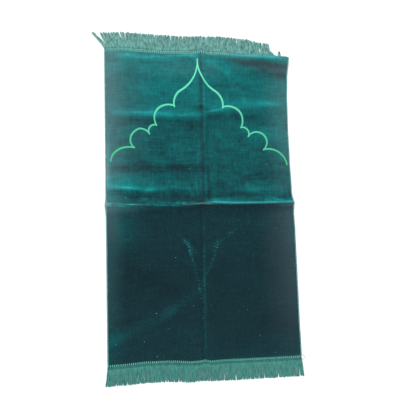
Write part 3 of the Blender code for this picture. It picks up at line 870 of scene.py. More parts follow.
# %% The arcs of the arch
Foil = namedtuple("Foil", "end bow widths barb")
ARCH_AXIS = -0.005
ARCH_TILT = 0.012
ARCH_RIGHT_STRETCH = 0.145
SAG_PLACE = 0.264
SAG_REACH = 0.050
SAG_DEPTH = 0.0065
ARCH_APEX = (0.0, 0.5250)
ARCH_FOILS = (
    Foil((0.060, 0.4120), -0.0172, (0.0044, 0.0055, 0.0071), 0.0),
    Foil((0.0885, 0.3518), 0.0103, (0.0071, 0.0067, 0.0050), 0.0040),
    Foil((0.154, 0.2790), 0.034, (0.0060, 0.0069, 0.0048), 0.0020),
    Foil((0.1800, 0.2475), 0.012, (0.0048, 0.0056, 0.0045), 0.0035),
    Foil((0.2330, 0.1970), 0.0414, (0.0054, 0.0067, 0.0048), 0.0010),
    Foil((0.3160, 0.1450), 0.0234, (0.0050, 0.0065, 0.0052), 0.0),
)
Arc = namedtuple("Arc", "centre radius middle spread chord half_chord ends widths")


def arc_of(start, foil):
    """Arc over a chord: radius = (half chord^2 + bow^2) / (2 bow), run on past its end by a barb."""
    start, end = np.array(start), np.array(foil.end)
    chord = end - start
    half_chord = np.hypot(*chord) / 2.0
    outward = np.array([-chord[1], chord[0]]) / (2.0 * half_chord)
    radius = (half_chord ** 2 + foil.bow ** 2) / (2.0 * abs(foil.bow))
    bow_side = math.copysign(1.0, foil.bow)
    centre = (start + end) / 2.0 + outward * (foil.bow - bow_side * radius)
    first = math.atan2(*(start - centre)[::-1])
    spread = 2.0 * math.acos(1.0 - abs(foil.bow) / radius)
    turn = -bow_side * (spread + foil.barb / radius)
    middle = first + turn / 2.0
    last = first + turn
    ends = [centre + radius * np.array([math.cos(a), math.sin(a)]) for a in (first, last)]
    return Arc(centre, radius, (math.cos(middle), math.sin(middle)), abs(turn) / 2.0,
               chord / (2.0 * half_chord), half_chord, ends, foil.widths)


arcs = [arc_of(start, foil) for start, foil in
        zip((ARCH_APEX,) + tuple(foil.end for foil in ARCH_FOILS), ARCH_FOILS)]
print("radii of the arcs in mm:", [round(1000 * arc.radius) for arc in arcs])

# %% Distance to the arch, in nodes
RAGGED_LUMPS = (900.0, 900.0, 0.0)


def arc_edge(place, arc):
    """Distance to one arc less half its width there: below 0 on the line, above 0 beside it.

    Inside the arc's spread the distance is |distance to the centre - radius|; past it,
    the distance to the nearer end. The width is the quadratic through its three values.
    """
    from_centre = vector_calc("SUBTRACT", place, (*arc.centre, 0.0))
    reach = vector_calc("LENGTH", from_centre)
    toward_middle = vector_calc("DOT_PRODUCT", from_centre, (*arc.middle, 0.0))
    inside = calc("GREATER_THAN", toward_middle / reach, math.cos(arc.spread))
    to_ends = [vector_calc("DISTANCE", place, (*end, 0.0)) for end in arc.ends]
    inputs = {0: inside, 2: calc("MINIMUM", *to_ends), 3: abs(reach - arc.radius)}
    to_arc = Value(add_node(place.tree, "ShaderNodeMix", inputs).outputs[0])
    on_chord = vector_calc("DOT_PRODUCT", from_centre, (*(arc.chord / arc.half_chord), 0.0))
    share = clamped(on_chord, -1.0, 1.0)
    first, middle, last = (width / 2.0 for width in arc.widths)
    slope, bulge = (last - first) / 2.0, (last + first) / 2.0 - middle
    return to_arc - (share * slope + share * share * bulge + middle)


def arch_line(cloth, ragged, soft):
    """1 on the arch line, 0 off it, with an edge as soft as pile and a little ragged.

    Woven by machine, the two sides still differ: the arch is tilted a little, its right side
    is wider, which is a distance d from the axis read as d - stretch d^2, and its left foot
    sags by depth (1 - s^2), with s the distance to the sag's middle over its reach.
    """
    across, along, _ = parts_of(cloth)
    off_axis = across - ARCH_AXIS
    to_right = calc("MAXIMUM", off_axis, 0.0)
    from_axis = abs(off_axis) - to_right * to_right * ARCH_RIGHT_STRETCH
    from_sag = (off_axis + SAG_PLACE) / SAG_REACH
    sag = clamped(1.0 - from_sag * from_sag) * SAG_DEPTH
    inputs = {0: from_axis, 1: along + off_axis * ARCH_TILT + sag}
    place = Value(add_node(cloth.tree, "ShaderNodeCombineXYZ", inputs).outputs[0])
    nearest = arc_edge(place, arcs[0])
    for arc in arcs[1:]:
        nearest = calc("MINIMUM", nearest, arc_edge(place, arc))
    rough_edge = nearest + noise(cloth, RAGGED_LUMPS) * ragged
    on_line = mapped(rough_edge, -soft, soft, 1.0, 0.0, interpolation_type="SMOOTHSTEP")
    return on_line, from_axis


print("the nodes measure the distance to", len(arcs), "arcs")

# %% [markdown]
# ## The velvet's finish
#
# The pile's colour comes from a ramp over the painted light and shade: near black, teal, cyan,
# and the painted sheen blends it towards grey. Noise in long thin lumps along and across the
# cloth gives the faint lines of the weave, and finer ones give lumps and the ends of the pile.
# Dust is a net of cells with one speck in some of them. Sheen brightens the pile towards grazing
# angles. Its amount is the same everywhere, so it is set on the shader itself.

# %% Pile finish
SHADE_LOW, SHADE_HIGH = -1.0, 1.6
# colours of the ramp, from painted shade to painted highlight
PILE_STOPS = (
    (-1.0, dye(19, 30, 37)), (-0.5, dye(24, 51, 58)), (-0.25, dye(23, 69, 74)),
    (0.0, dye(22, 86, 89)), (0.5, dye(24, 115, 117)), (1.0, dye(28, 148, 150)),
    (1.6, dye(62, 190, 192)),
)
# grey of the painted sheen
PAINTED_SHEEN_COLOUR = dye(150, 165, 172)
DUST_COLOUR = dye(100, 160, 160)
# the arch line is painted lighter at its middle and darker, greener towards its sides: painted light
ARCH_LIT_MIDDLE = dye(118, 246, 204)
ARCH_SHADED_SIDE = dye(82, 198, 146)
ARCH_SIDE_REACH = 0.30
DUST_SHARE = 0.7
# lumps a metre across and along, and the amount; the weave's noises fade towards the foot half
WEAVE_NOISES = (((190.0, 12.0, 0.0), 0.48), ((13.0, 130.0, 0.0), 0.44), ((70.0, 60.0, 0.0), 0.50))
WEAVE_FADE = {"low": -0.020, "high": 0.006, "at_low": 0.45, "at_high": 1.0}
PILE_NOISES = (((210.0, 210.0, 0.0), 0.85), ((700.0, 700.0, 0.0), 0.60))
SPECK_LUMPS = (300.0, 300.0, 0.0)
SPECK_TOPS = {"low": 0.06, "high": 0.15, "at_low": 0.0, "at_high": 1.8}
PILE_END_LUMPS = (1100.0, 1100.0, 0.0)
PILE_ROW_LUMPS = (620.0, 40.0, 0.0)


def dust(cloth, per_metre, radius, share):
    """1 on a speck: within its radius of a cell's middle, in this share of the cells."""
    at = vector_calc("MULTIPLY", cloth, (per_metre, per_metre, 0.0))
    cells = add_node(cloth.tree, "ShaderNodeTexVoronoi", {"Vector": at, "Scale": 1.0})
    draws = add_node(cloth.tree, "ShaderNodeSeparateColor", {0: Value(cells.outputs["Color"])})
    chosen = calc("LESS_THAN", Value(draws.outputs[0]), share)
    size = (Value(draws.outputs[1]) + 0.5) * (radius * per_metre)
    return chosen * calc("LESS_THAN", Value(cells.outputs["Distance"]), size)


pile, shader = new_finish(
    "velvet_pile", Roughness=0.95, Sheen_Weight=0.18, Sheen_Roughness=0.45,
    Sheen_Tint=(0.25, 0.72, 0.74, 1.0), Specular_IOR_Level=0.03)
cloth = source(shader, "ShaderNodeUVMap", "UV", uv_map="cloth")
painted_light_and_wear_here, painted_sheen_here, specks_here = (
    source(shader, "ShaderNodeAttribute", "Fac", attribute_name=name)
    for name in ("shade", "haze", "specks"))
weave_share = mapped(parts_of(cloth)[1], **WEAVE_FADE)
for stretch, amount in WEAVE_NOISES:
    painted_light_and_wear_here = painted_light_and_wear_here + noise(cloth, stretch) * amount * weave_share
for stretch, amount in PILE_NOISES:
    painted_light_and_wear_here = painted_light_and_wear_here + noise(cloth, stretch) * amount
painted_light_and_wear_here = painted_light_and_wear_here + mapped(noise(cloth, SPECK_LUMPS), **SPECK_TOPS) * specks_here
# the ramp turns painted light and shade into colour, and the painted sheen greys it
painted_light_share = mapped(painted_light_and_wear_here, SHADE_LOW, SHADE_HIGH, 0.0, 1.0)
stops = [((place - SHADE_LOW) / (SHADE_HIGH - SHADE_LOW), colour) for place, colour in PILE_STOPS]
pile_colour = blend(painted_sheen_here, ramp_of(painted_light_share, stops), PAINTED_SHEEN_COLOUR)
on_arch, from_axis = arch_line(cloth, ragged=0.0012, soft=0.0006)
# painted light on the arch line: lighter at its middle, darker towards its sides
arch_colour = blend(clamped(from_axis / ARCH_SIDE_REACH), ARCH_LIT_MIDDLE, ARCH_SHADED_SIDE)
clean_colour = blend(on_arch, pile_colour, arch_colour)
fine_dust = dust(cloth, per_metre=130.0, radius=0.00045, share=0.5)
coarse_dust = dust(cloth, per_metre=34.0, radius=0.0008, share=0.35)
dust_share = calc("MAXIMUM", fine_dust, coarse_dust) * DUST_SHARE
relief = noise(cloth, PILE_END_LUMPS, 3.0) + noise(cloth, PILE_ROW_LUMPS) * 0.8
final_colour = blend(dust_share, clean_colour, DUST_COLOUR)
set_surface(shader, final_colour, relief=relief, strength=0.55, depth=0.0006)
print("pile finish:", len(pile.node_tree.nodes), "nodes")

# %% [markdown]
# The back of velvet shows the ground weave: dull ribs with the pile's roots as small dots,
# and the arch as a faint ghost, because its yarns are bound in there too.

# %% Back finish
RIB_PITCH = 0.0021
BACK_LUMPS = (14.0, 260.0, 0.0)
GHOST_SHARE = 0.35
back, shader = new_finish("velvet_back", Roughness=0.9, Specular_IOR_Level=0.15)
cloth = source(shader, "ShaderNodeUVMap", "UV", uv_map="cloth")
roots, ribs = (abs(calc("SINE", place * (math.pi / RIB_PITCH))) for place in parts_of(cloth)[:2])
weave = ribs * roots
ground = blend(clamped(weave + noise(cloth, BACK_LUMPS)), dye(28, 74, 74), dye(70, 128, 120))
ghost, _ = arch_line(cloth, ragged=0.0020, soft=0.0012)
back_colour = blend(ghost * GHOST_SHARE, ground, dye(120, 200, 168))
set_surface(shader, back_colour, relief=weave, strength=0.6, depth=0.0005)
print("back finish:", len(back.node_tree.nodes), "nodes")

# %% Pile on the first half of the faces, back on the second
velvet.data.materials.append(pile)
velvet.data.materials.append(back)
face_finish = np.repeat([0, 1], len(velvet_quads) // 2).astype(np.int32)
velvet.data.polygons.foreach_set("material_index", face_finish)
print(len(face_finish), "faces with a finish")

# %% [markdown]
# ## Yarn finish
#
# Overlock, heading and strings are all spun yarn: plies twisted round each other. The yarns
# have a UV map that runs round and along them, so the twist is a stripe that slants: its
# phase is the turns round the yarn plus the length over the pitch. The groove between the
# plies is darkened with painted shade, and the foot end's heading and strings are darker
# copies of the arch end's yarns: painted shade.

# %% Yarn finishes
PATCH_LUMPS = (150.0, 60.0, 150.0)
FIBRE_LUMPS = (1800.0, 500.0, 1800.0)


def yarn_finish(name, light, dark, plies, pitch, depth, patchy=0.0):
    """Twisted yarn: ply = |sin(pi (plies u + v / pitch))|, bright on the ply, dark in the groove.

    Lightness = (1 - 0.25 patchy) ply^0.6 + (2 + 1.6 patchy) patches + 0.8 fibres, of which the
    last two are noises; the dark in the groove is painted shade. The relief is the ply and a
    little of the fibres.
    """
    material, shader = new_finish(
        name, Roughness=0.72, Sheen_Weight=0.15, Sheen_Roughness=0.5,
        Sheen_Tint=(0.6, 0.85, 0.8, 1.0), Specular_IOR_Level=0.30)
    turn_share, length, _ = parts_of(source(shader, "ShaderNodeUVMap", "UV", uv_map="yarn"))
    ply = abs(calc("SINE", (turn_share * float(plies) + length / pitch) * math.pi))
    place = source(shader, "ShaderNodeTexCoord", "Object")
    fibres = noise(place, FIBRE_LUMPS)
    patches = noise(place, PATCH_LUMPS, 3.0) * (2.0 + 1.6 * patchy)
    lightness = calc("POWER", ply, 0.6) * (1.0 - 0.25 * patchy) + (patches + fibres * 0.8)
    colour = blend(clamped(lightness), dark, light)
    set_surface(shader, colour, relief=ply + fibres * 0.3, strength=0.7, depth=depth)
    return material


# name, light, dark in the groove (painted shade), plies, pitch of the twist, depth of the
# relief, and how patchy it is; the foot end's two yarns are the arch end's, painted darker as shade
YARNS = (
    ("string_yarn", dye(125, 194, 184), dye(54, 108, 106), 2, 0.0075, 0.0005, 0.6),
    ("heading_yarn", dye(118, 194, 184), dye(64, 130, 124), 2, 0.0060, 0.0004),
    ("foot_heading_yarn", dye(48, 136, 128), dye(20, 80, 76), 2, 0.0060, 0.0004),
    ("foot_string_yarn", dye(74, 156, 146), dye(38, 96, 92), 2, 0.0075, 0.0005),
    ("stitch_yarn", dye(134, 226, 208), dye(72, 158, 146), 2, 0.0060, 0.0003),
    ("overlock_yarn", dye(114, 178, 178), dye(54, 112, 116), 1, 0.0028, 0.0003),
)
string_finish, heading_finish, shaded_foot_heading_finish, shaded_foot_string_finish, stitch_finish, overlock_finish = (
    yarn_finish(*yarn) for yarn in YARNS)
print(len(YARNS), "yarn finishes")

# %% [markdown]
# ## Overlocked sides
#
# An overlock machine wraps the raw side of the velvet in yarn. Seen close it is a row of
# slanting threads, one after the other. Here it is one flat round section carried along the
# side, which swells and narrows once for every thread.

# %% Overlock along one side
THREAD_PITCH = 0.0028
THREAD_SWELL = 0.08
THREAD_STEPS = 5
SECTION_POINTS = 12
OVERLOCK_TAPER = 0.0025
BLUNT_SHARE = 0.05


def add_overlock(name, side):
    """Section: superellipse of power 3; its size varies once a thread as a slanting sine.

    The size is 1 + swell (sin(2 pi (along / pitch - turn share)) - 1), and it tapers at the ends.
    """
    count = int(RUG_LENGTH / THREAD_PITCH) * THREAD_STEPS + 1
    along = np.linspace(BOTTOM_END, TOP_END, count)[:, None]
    turn_share = np.arange(SECTION_POINTS) / SECTION_POINTS
    turn = 2.0 * np.pi * turn_share
    half_wide, half_high = OVERLOCK_WIDTH / 2.0, OVERLOCK_THICKNESS / 2.0
    size = (np.abs(np.cos(turn)) ** 3 + np.abs(np.sin(turn)) ** 3) ** (-1.0 / 3.0)
    wave = np.sin(2.0 * np.pi * (along / THREAD_PITCH - turn_share))
    to_end = np.minimum(along - BOTTOM_END, TOP_END - along)
    size = size * (1.0 + THREAD_SWELL * (wave - 1.0))
    size = size * np.maximum(rim_share(to_end, OVERLOCK_TAPER), BLUNT_SHARE)
    inner_edge = HALF_WIDTH - OVERLOCK_WIDTH
    across = side * (inner_edge + half_wide) + half_wide * size * np.cos(turn)
    height = velvet_height(side * inner_edge, along) + half_high * (1.0 + size * np.sin(turn))
    points = lay(across, np.broadcast_to(along, across.shape), height)
    faces = tube_faces(1, count, SECTION_POINTS)
    uv = tube_uv((along - BOTTOM_END).T, 1, count, SECTION_POINTS)
    # cos(turn) points to +x and the path to +y, which is the other hand from the yarns' rings
    flipped = [face[::-1] for face in faces]
    starts = np.cumsum([0] + [len(face) for face in faces])
    order = np.concatenate([np.arange(*pair)[::-1] for pair in zip(starts, starts[1:])])
    piece = add_mesh(name, points, flipped, uv[order])
    piece.data.materials.append(overlock_finish)
    return piece


overlock_left = add_overlock("overlock_edge_left", -1.0)
overlock_right = add_overlock("overlock_edge_right", 1.0)

# %% [markdown]
# ## Heading
#
# The strings are held in a heading about 16 mm wide, woven from the strings' own ends laid
# side by side. Two rows of chain stitch run along it, and a row of whip stitches sews it to
# the velvet. The heading is one thin sheet with two ribs for every loop, one a leg, and the
# stitches are yarns of their own. At the top right the heading slides under the velvet.

# %% Places across the rug and past its ends
TOP_HEADER_TUCK = ((0.100, 0.0), (0.177, 0.0070), (0.232, 0.0150), (0.270, 0.0200), (0.340, 0.0260))
NO_TUCK = ((0.0, 0.0), (1.0, 0.0))
SEAM_SLIP = 0.0015
SEAM_LIFT = 0.0026
LOOP_COUNT = 96
LOOP_PITCH = RUG_WIDTH / LOOP_COUNT


def past_end(side, reach):
    """Place along the cloth at a reach past one end: side is 1 for the top, -1 for the bottom."""
    return TOP_END + reach if side > 0.0 else BOTTOM_END - reach


def seam_lift(side, tuck, across, reach):
    """Lift of the top heading beside the lifted velvet; none where it has slid under it."""
    sewn_level = 1.0 - smooth(straight(tuck, across) / SEAM_SLIP)
    near_seam = 1.0 - smooth(reach / HEADER_WIDTH)
    return max(side, 0.0) * SEAM_LIFT * over_strings(across) * sewn_level * near_seam


def on_trimming(side, tuck, across, reach, over):
    """Points past one end of the velvet, over the floor or the folds by some height."""
    along = past_end(side, reach - straight(tuck, across))
    ground = trimming_height(across, along) + seam_lift(side, tuck, across, reach)
    return lay(across, along, ground + over)


print(f"one loop of string every {1000 * LOOP_PITCH:.2f} mm")

# %% The ribbed band
BAND_STEPS_PER_RIB = 4
BAND_ROWS = 13
BAND_CLEARANCE = 0.0003
BAND_RIM = 0.0006
BAND_END_RIM = 0.001
RIB_SLANT = 0.35
RIB_GROOVE_SHARE = 0.25


def add_band(name, side, tuck, finish):
    """Closed sheet: thickness = a quarter + three quarters |cos(pi (ribs - slant))|^0.6.

    The rows crowd at both edges, at (1 - cos(pi share)) / 2 of the width, for a round rim there.
    """
    ribs = 2 * LOOP_COUNT
    across = np.linspace(-HALF_WIDTH, HALF_WIDTH, ribs * BAND_STEPS_PER_RIB + 1)
    row_share = (1.0 - np.cos(np.pi * np.linspace(0.0, 1.0, BAND_ROWS))) / 2.0
    across, reach = np.meshgrid(across, SEWING_GAP + HEADER_WIDTH * row_share)
    slant = RIB_SLANT * np.sin(2.0 * np.pi * reach / HEADER_WIDTH)
    rib = np.abs(np.cos(np.pi * (across / RUG_WIDTH * ribs - slant))) ** 0.6
    thick = HEADER_THICKNESS * (RIB_GROOVE_SHARE + (1.0 - RIB_GROOVE_SHARE) * rib)
    from_edge = np.minimum(reach - SEWING_GAP, HEADER_WIDTH + SEWING_GAP - reach)
    thick = thick * rim_share(from_edge, BAND_RIM)
    thick = thick * rim_share(HALF_WIDTH - np.abs(across), BAND_END_RIM)
    # u counts pairs of ribs, and its quarter more makes each rib one ply of the yarn finish
    places = np.stack([across * ribs / RUG_WIDTH / 2.0 + 0.25, reach * 0.1], axis=-1)
    points, quads, places = closed_sheet(
        on_trimming(side, tuck, across, reach, BAND_CLEARANCE + thick),
        on_trimming(side, tuck, across, reach, BAND_CLEARANCE), places)
    if side < 0.0:
        quads = quads[:, ::-1]
    piece = add_mesh(name, points, quads.tolist(), places[quads].reshape(-1, 2))
    piece.data.materials.append(finish)
    return piece


band_top = add_band("header_band_top", 1.0, TOP_HEADER_TUCK, heading_finish)
band_bottom = add_band("header_band_bottom", -1.0, NO_TUCK, shaded_foot_heading_finish)

# %% Chain stitches and whip stitches
CHAIN_REACHES = (0.0032, 0.0092)
CHAIN_STEPS = 6
CHAIN_INSET = 0.002
CHAIN_SIDEWAYS = 0.0009
CHAIN_RISE = 0.0003
CHAIN_WIDE, CHAIN_HIGH = 0.0005, 0.0004
WHIP_STEPS = 7
WHIP_WIDE, WHIP_HIGH = 0.0014, 0.0008
WHIP_START = 0.0026
WHIP_LAP = 0.0048
WHIP_SLANT = 0.0008
WHIP_BOW, WHIP_SINK = 0.0007, 0.0004
WHIP_TUCK_LIMIT = 0.0012
RIM_PLACE = 0.45
STITCH_AROUND = 6


def chain_paths(side, tuck):
    """Two strands a row that cross once a loop: sideways +-cos, up and down sin of the same turn."""
    steps = LOOP_COUNT * CHAIN_STEPS + 1
    across = np.linspace(-HALF_WIDTH + CHAIN_INSET, HALF_WIDTH - CHAIN_INSET, steps)
    turn = np.pi * across / LOOP_PITCH
    paths = []
    for reach in CHAIN_REACHES:
        for strand in (1.0, -1.0):
            sideways = reach + SEWING_GAP + strand * CHAIN_SIDEWAYS * np.cos(turn)
            over = BAND_CLEARANCE + HEADER_THICKNESS + CHAIN_RISE * (1.0 + strand * np.sin(turn))
            paths.append(on_trimming(side, tuck, across, sideways, over))
    return np.stack(paths)


def whip_paths(side, tuck):
    """Short yarns from the heading over the velvet's rim: a sine arch that ends in the pile."""
    across = -HALF_WIDTH + LOOP_PITCH * (np.arange(LOOP_COUNT) + 0.5)
    across = across[straight(tuck, across) < WHIP_TUCK_LIMIT][:, None]
    share = np.linspace(0.0, 1.0, WHIP_STEPS)[None, :]
    along = past_end(side, SEWING_GAP + WHIP_START - (WHIP_START + WHIP_LAP) * share)
    across = across + WHIP_SLANT * (share - 0.5)
    ground = trimming_height(across, along) + HEADER_THICKNESS + seam_lift(side, tuck, across, 0.0)
    pile_top = velvet_height(across, np.clip(along, BOTTOM_END, TOP_END)) + VELVET_THICKNESS
    height = ground + (pile_top - ground) * smooth(share / RIM_PLACE)
    return lay(across, along, height + WHIP_BOW * np.sin(np.pi * share) - WHIP_SINK * share)


def add_stitches(name, side, tuck, chain_finish):
    """Chain rows and whip stitches of one end as one object with two finishes."""
    return add_yarns(
        name,
        Bundle(chain_paths(side, tuck), CHAIN_WIDE, CHAIN_HIGH, STITCH_AROUND, chain_finish),
        Bundle(whip_paths(side, tuck), WHIP_WIDE, WHIP_HIGH, STITCH_AROUND, stitch_finish))


stitches_top = add_stitches("header_stitches_top", 1.0, TOP_HEADER_TUCK, heading_finish)
stitches_bottom = add_stitches("header_stitches_bottom", -1.0, NO_TUCK, shaded_foot_heading_finish)

# %% [markdown]
# ## Fringe
#
# Each string leaves the heading, turns round and comes back as a loop of twisted yarn about
# 52 mm long. Strings cling together in clumps of two, lean with the brush of a hand, and never
# lie quite straight. A particle system could scatter them, but the real ones are sewn at an
# even pitch. So each loop is one path, which its place in the row and a few seeded draws bend.

# %% Loops of string
TOP_STRING_REACH = (
    (-0.110, 1.00), (-0.080, 0.93), (-0.020, 0.92), (0.010, 0.95), (0.050, 0.97), (0.070, 1.00),
    (0.170, 1.00), (0.185, 1.03), (0.200, 0.99), (0.222, 0.89), (0.240, 0.96), (0.2655, 1.00),
    (0.268, 0.48), (0.280, 0.30), (0.293, 0.12), (0.302, 0.12), (0.308, 0.50), (0.314, 0.12),
    (0.340, 0.10),
)
TOP_STRING_LEAN = (
    (-0.340, -0.0460), (-0.3366, -0.0460), (-0.329, -0.0470), (-0.322, -0.0300),
    (-0.315, -0.0266), (-0.300, -0.0224), (-0.280, -0.0170), (-0.250, -0.0110),
    (-0.150, -0.0030), (0.000, 0.0010), (0.150, 0.0030), (0.250, -0.0020), (0.340, -0.0050),
)
BOTTOM_STRING_REACH = ((-0.340, 0.96), (0.000, 1.00), (0.340, 0.97))
BOTTOM_STRING_LEAN = ((-0.340, -0.0060), (0.000, 0.0015), (0.340, 0.0050))
STRING_RADIUS = 0.00200
STRING_WIDENS = ((0.0, 0.80), (0.003, 1.00))
STRING_ROUNDS = ((0.004, 0.30), (0.016, 0.90))
STRING_STEPS = 33
STRING_AROUND = 7
STRING_INSET = 0.0065
STRING_END_GAP = 0.001
LENGTH_SPREAD = 0.045
LOOP_WIDTH, LOOP_WIDTH_SPREAD = 0.0045, 0.0006
OPEN_LOOP_PLACE, OPEN_LOOP_HOLE, OPEN_LOOP_REACH = 0.2328, 0.0070, 0.28
CLUMP_PULL, CLUMP_SPREAD = 0.16, 0.0011
LEAN_BEND = 1.2
WAVE_COUNT, WAVE_SPREAD = 1.3, 0.0011
LOOP_OPENS, LAYER_OPENS = 1.4, 3.0
LAYER_STEP, LIFT_SPREAD = 0.0011, 0.0006
EDGE_RUN = 0.006
TUCK_FLATTENS = 0.030


def loop_paths(side, tuck, reach_table, lean_table, hole, seed):
    """Paths out and back with their half sizes: two legs joined by a round tip.

    The distance out is (1 - cos(pi share)) / 2 of the length, and the legs stand
    (1 - out^3.6)^0.15 of half the loop's width to the left and right. Clump, lean, wave and
    layer move both legs. A string starts flat on the heading, runs over its edge and grows
    round on its way down to the floor. One loop stands open by a hole in its middle.
    """
    chance = np.random.default_rng(seed)
    number = np.arange(LOOP_COUNT)[:, None]
    root = -HALF_WIDTH + LOOP_PITCH * (number + 0.5)

    def spread(size):
        return size * chance.standard_normal(LOOP_COUNT)[:, None]

    length = (STRING_LENGTH - STRING_END_GAP) * straight(reach_table, root)
    length = length * (1.0 - LENGTH_SPREAD * chance.random(LOOP_COUNT)[:, None])
    leg = np.linspace(-1.0, 1.0, STRING_STEPS)[None, :]
    out = (1.0 - np.cos(np.pi * (1.0 - np.abs(leg)))) / 2.0
    travelled = out * (length + STRING_INSET)

    # the legs to the left and right of the loop's middle line
    half_root, half_loop = LOOP_PITCH / 4.0, (LOOP_WIDTH + spread(LOOP_WIDTH_SPREAD)) / 2.0
    half = half_root + (half_loop - half_root) * smooth(out * LOOP_OPENS)
    is_open = number == np.argmin(np.abs(root - OPEN_LOOP_PLACE))
    half = half + is_open * hole / 2.0 * smooth(1.0 - np.abs(out - 0.5) / OPEN_LOOP_REACH)
    legs = np.sign(leg) * (1.0 - out ** 3.6) ** 0.15 * half

    # the middle line's lean, clump and wave
    clump = (number // 2 * 2 + 0.5 - number) * LOOP_PITCH * CLUMP_PULL + spread(CLUMP_SPREAD)
    lean = (straight(lean_table, root) + clump) * out ** LEAN_BEND
    wave = spread(WAVE_SPREAD)
    phase = chance.uniform(0.0, 2.0 * np.pi, LOOP_COUNT)[:, None]
    wave = wave * np.sin(2.0 * np.pi * WAVE_COUNT * out + phase) * out
    across = root + lean + wave + legs

    # the half sizes, and the height over the heading, the neighbours and the floor
    wide = STRING_RADIUS * eased(STRING_WIDENS, travelled)
    high = STRING_RADIUS * eased(STRING_ROUNDS, travelled)
    layer = LAYER_STEP * (number % 2) * smooth(out * LAYER_OPENS)
    lift = np.abs(spread(LIFT_SPREAD)) * np.sin(np.pi * out)
    tucked = straight(tuck, root)
    over_heading = HEADER_THICKNESS * (1.0 - smooth((travelled - STRING_INSET) / EDGE_RUN))
    over_heading = over_heading * (1.0 - tucked / TUCK_FLATTENS)
    reach = SEWING_GAP + HEADER_WIDTH - STRING_INSET + travelled
    along = past_end(side, reach - tucked)
    ground = trimming_height(across, along) + seam_lift(side, tuck, across, reach)
    return lay(across, along, ground + high + over_heading + layer + lift), wide, high


def add_fringe(name, side, tuck, reach_table, lean_table, hole, seed, finish):
    """All the loops of one end as one object of yarns."""
    paths, wide, high = loop_paths(side, tuck, reach_table, lean_table, hole, seed)
    return add_yarns(name, Bundle(paths, wide, high, STRING_AROUND, finish))


fringe_top = add_fringe(
    "fringe_loops_top", 1.0, TOP_HEADER_TUCK, TOP_STRING_REACH, TOP_STRING_LEAN, OPEN_LOOP_HOLE, 21,
    string_finish)
fringe_bottom = add_fringe(
    "fringe_loops_bottom", -1.0, NO_TUCK, BOTTOM_STRING_REACH, BOTTOM_STRING_LEAN, 0.0, 22,
    shaded_foot_string_finish)

# %% [markdown]
# ## A loose thread and lint
#
# Small things make the rug a used one: a thread has come out of the heading at the bottom
# right corner, and bits of lint lie on the pile. Each bit of lint is a short curled yarn of a
# few faces, and all of them are one mesh that is easy to leave out.

# %% The loose thread: from its root to its tip in a bow, with half a wave more along the rug
LOOSE_ROOT, LOOSE_TIP = (0.338, -0.5455), (0.336, -0.5590)
LOOSE_BOW, LOOSE_WAVE = 0.0125, 0.003
LOOSE_HEIGHT, LOOSE_SAG = 0.0022, 0.0014
LOOSE_RADIUS = 0.00065
LOOSE_STEPS = 22
thread_share = np.linspace(0.0, 1.0, LOOSE_STEPS)
thread_bow = np.sin(np.pi * thread_share)
thread_across, thread_along = (
    root + (tip - root) * thread_share for root, tip in zip(LOOSE_ROOT, LOOSE_TIP))
thread_along = thread_along + LOOSE_WAVE * np.sin(2.0 * np.pi * thread_share)
thread_path = lay(
    thread_across + LOOSE_BOW * thread_bow, thread_along, LOOSE_HEIGHT - LOOSE_SAG * thread_bow)
loose_bundle = Bundle(
    thread_path[None], LOOSE_RADIUS, LOOSE_RADIUS, STITCH_AROUND, heading_finish)
loose_thread = add_yarns("loose_thread", loose_bundle)
print(f"its tip is at {thread_path[-1].round(4)}")

# %% Lint
LINT_PLACES = (
    (-0.021, -0.300), (-0.005, -0.291), (-0.101, -0.192), (0.097, -0.106), (0.047, -0.159),
    (-0.042, -0.360), (0.020, -0.358), (-0.008, -0.405), (-0.171, -0.384), (-0.128, -0.437),
    (-0.214, -0.479), (-0.311, -0.479), (-0.171, -0.531), (-0.149, -0.532), (0.148, -0.378),
    (0.190, -0.468), (0.244, -0.530), (0.123, 0.141), (0.080, 0.204), (0.097, 0.117),
    (0.245, 0.141), (0.315, 0.294), (0.281, 0.315), (-0.044, 0.122), (-0.086, 0.169),
    (-0.270, 0.021), (0.278, 0.417), (0.114, 0.457), (0.123, 0.430),
)
LINT_STEPS, LINT_AROUND = 6, 5
LINT_CURL = (1.6, 4.4)
LINT_RADIUS = (0.0006, 0.0012)
LINT_WIDE, LINT_HIGH = 0.00038, 0.00030
LINT_CLEARANCE = 0.0003
LINT_LUMPS = (40.0, 40.0, 40.0)

lint_chance = np.random.default_rng(31)
lint_places = np.array(LINT_PLACES)
lint_count = len(lint_places)
curl_share = np.linspace(-0.5, 0.5, LINT_STEPS)[None, :]
curl = curl_share * lint_chance.uniform(*LINT_CURL, lint_count)[:, None]
curl = curl + lint_chance.uniform(0.0, 2.0 * np.pi, lint_count)[:, None]
curl_radius = lint_chance.uniform(*LINT_RADIUS, lint_count)[:, None]
lint_across = lint_places[:, :1] + curl_radius * np.cos(curl)
lint_along = lint_places[:, 1:] + curl_radius * np.sin(curl)
lint_height = velvet_height(lint_across, lint_along) + VELVET_THICKNESS + LINT_CLEARANCE
lint_finish, shader = new_finish("lint_fibre", Roughness=0.8, Specular_IOR_Level=0.2)
lint_share = clamped(noise(source(shader, "ShaderNodeTexCoord", "Object"), LINT_LUMPS) + 0.5)
set_surface(shader, blend(lint_share, dye(130, 200, 200), dye(250, 255, 255)))
lint_paths = lay(lint_across, lint_along, lint_height)
lint = add_yarns("lint", Bundle(lint_paths, LINT_WIDE, LINT_HIGH, LINT_AROUND, lint_finish))
print(lint_count, "bits of lint")

# %% [markdown]
# ## What each piece is in the part
#
# Every piece rides on the part's one body and stands for the solid that it replaces. The
# velvet and the two headings are sheets of cloth.

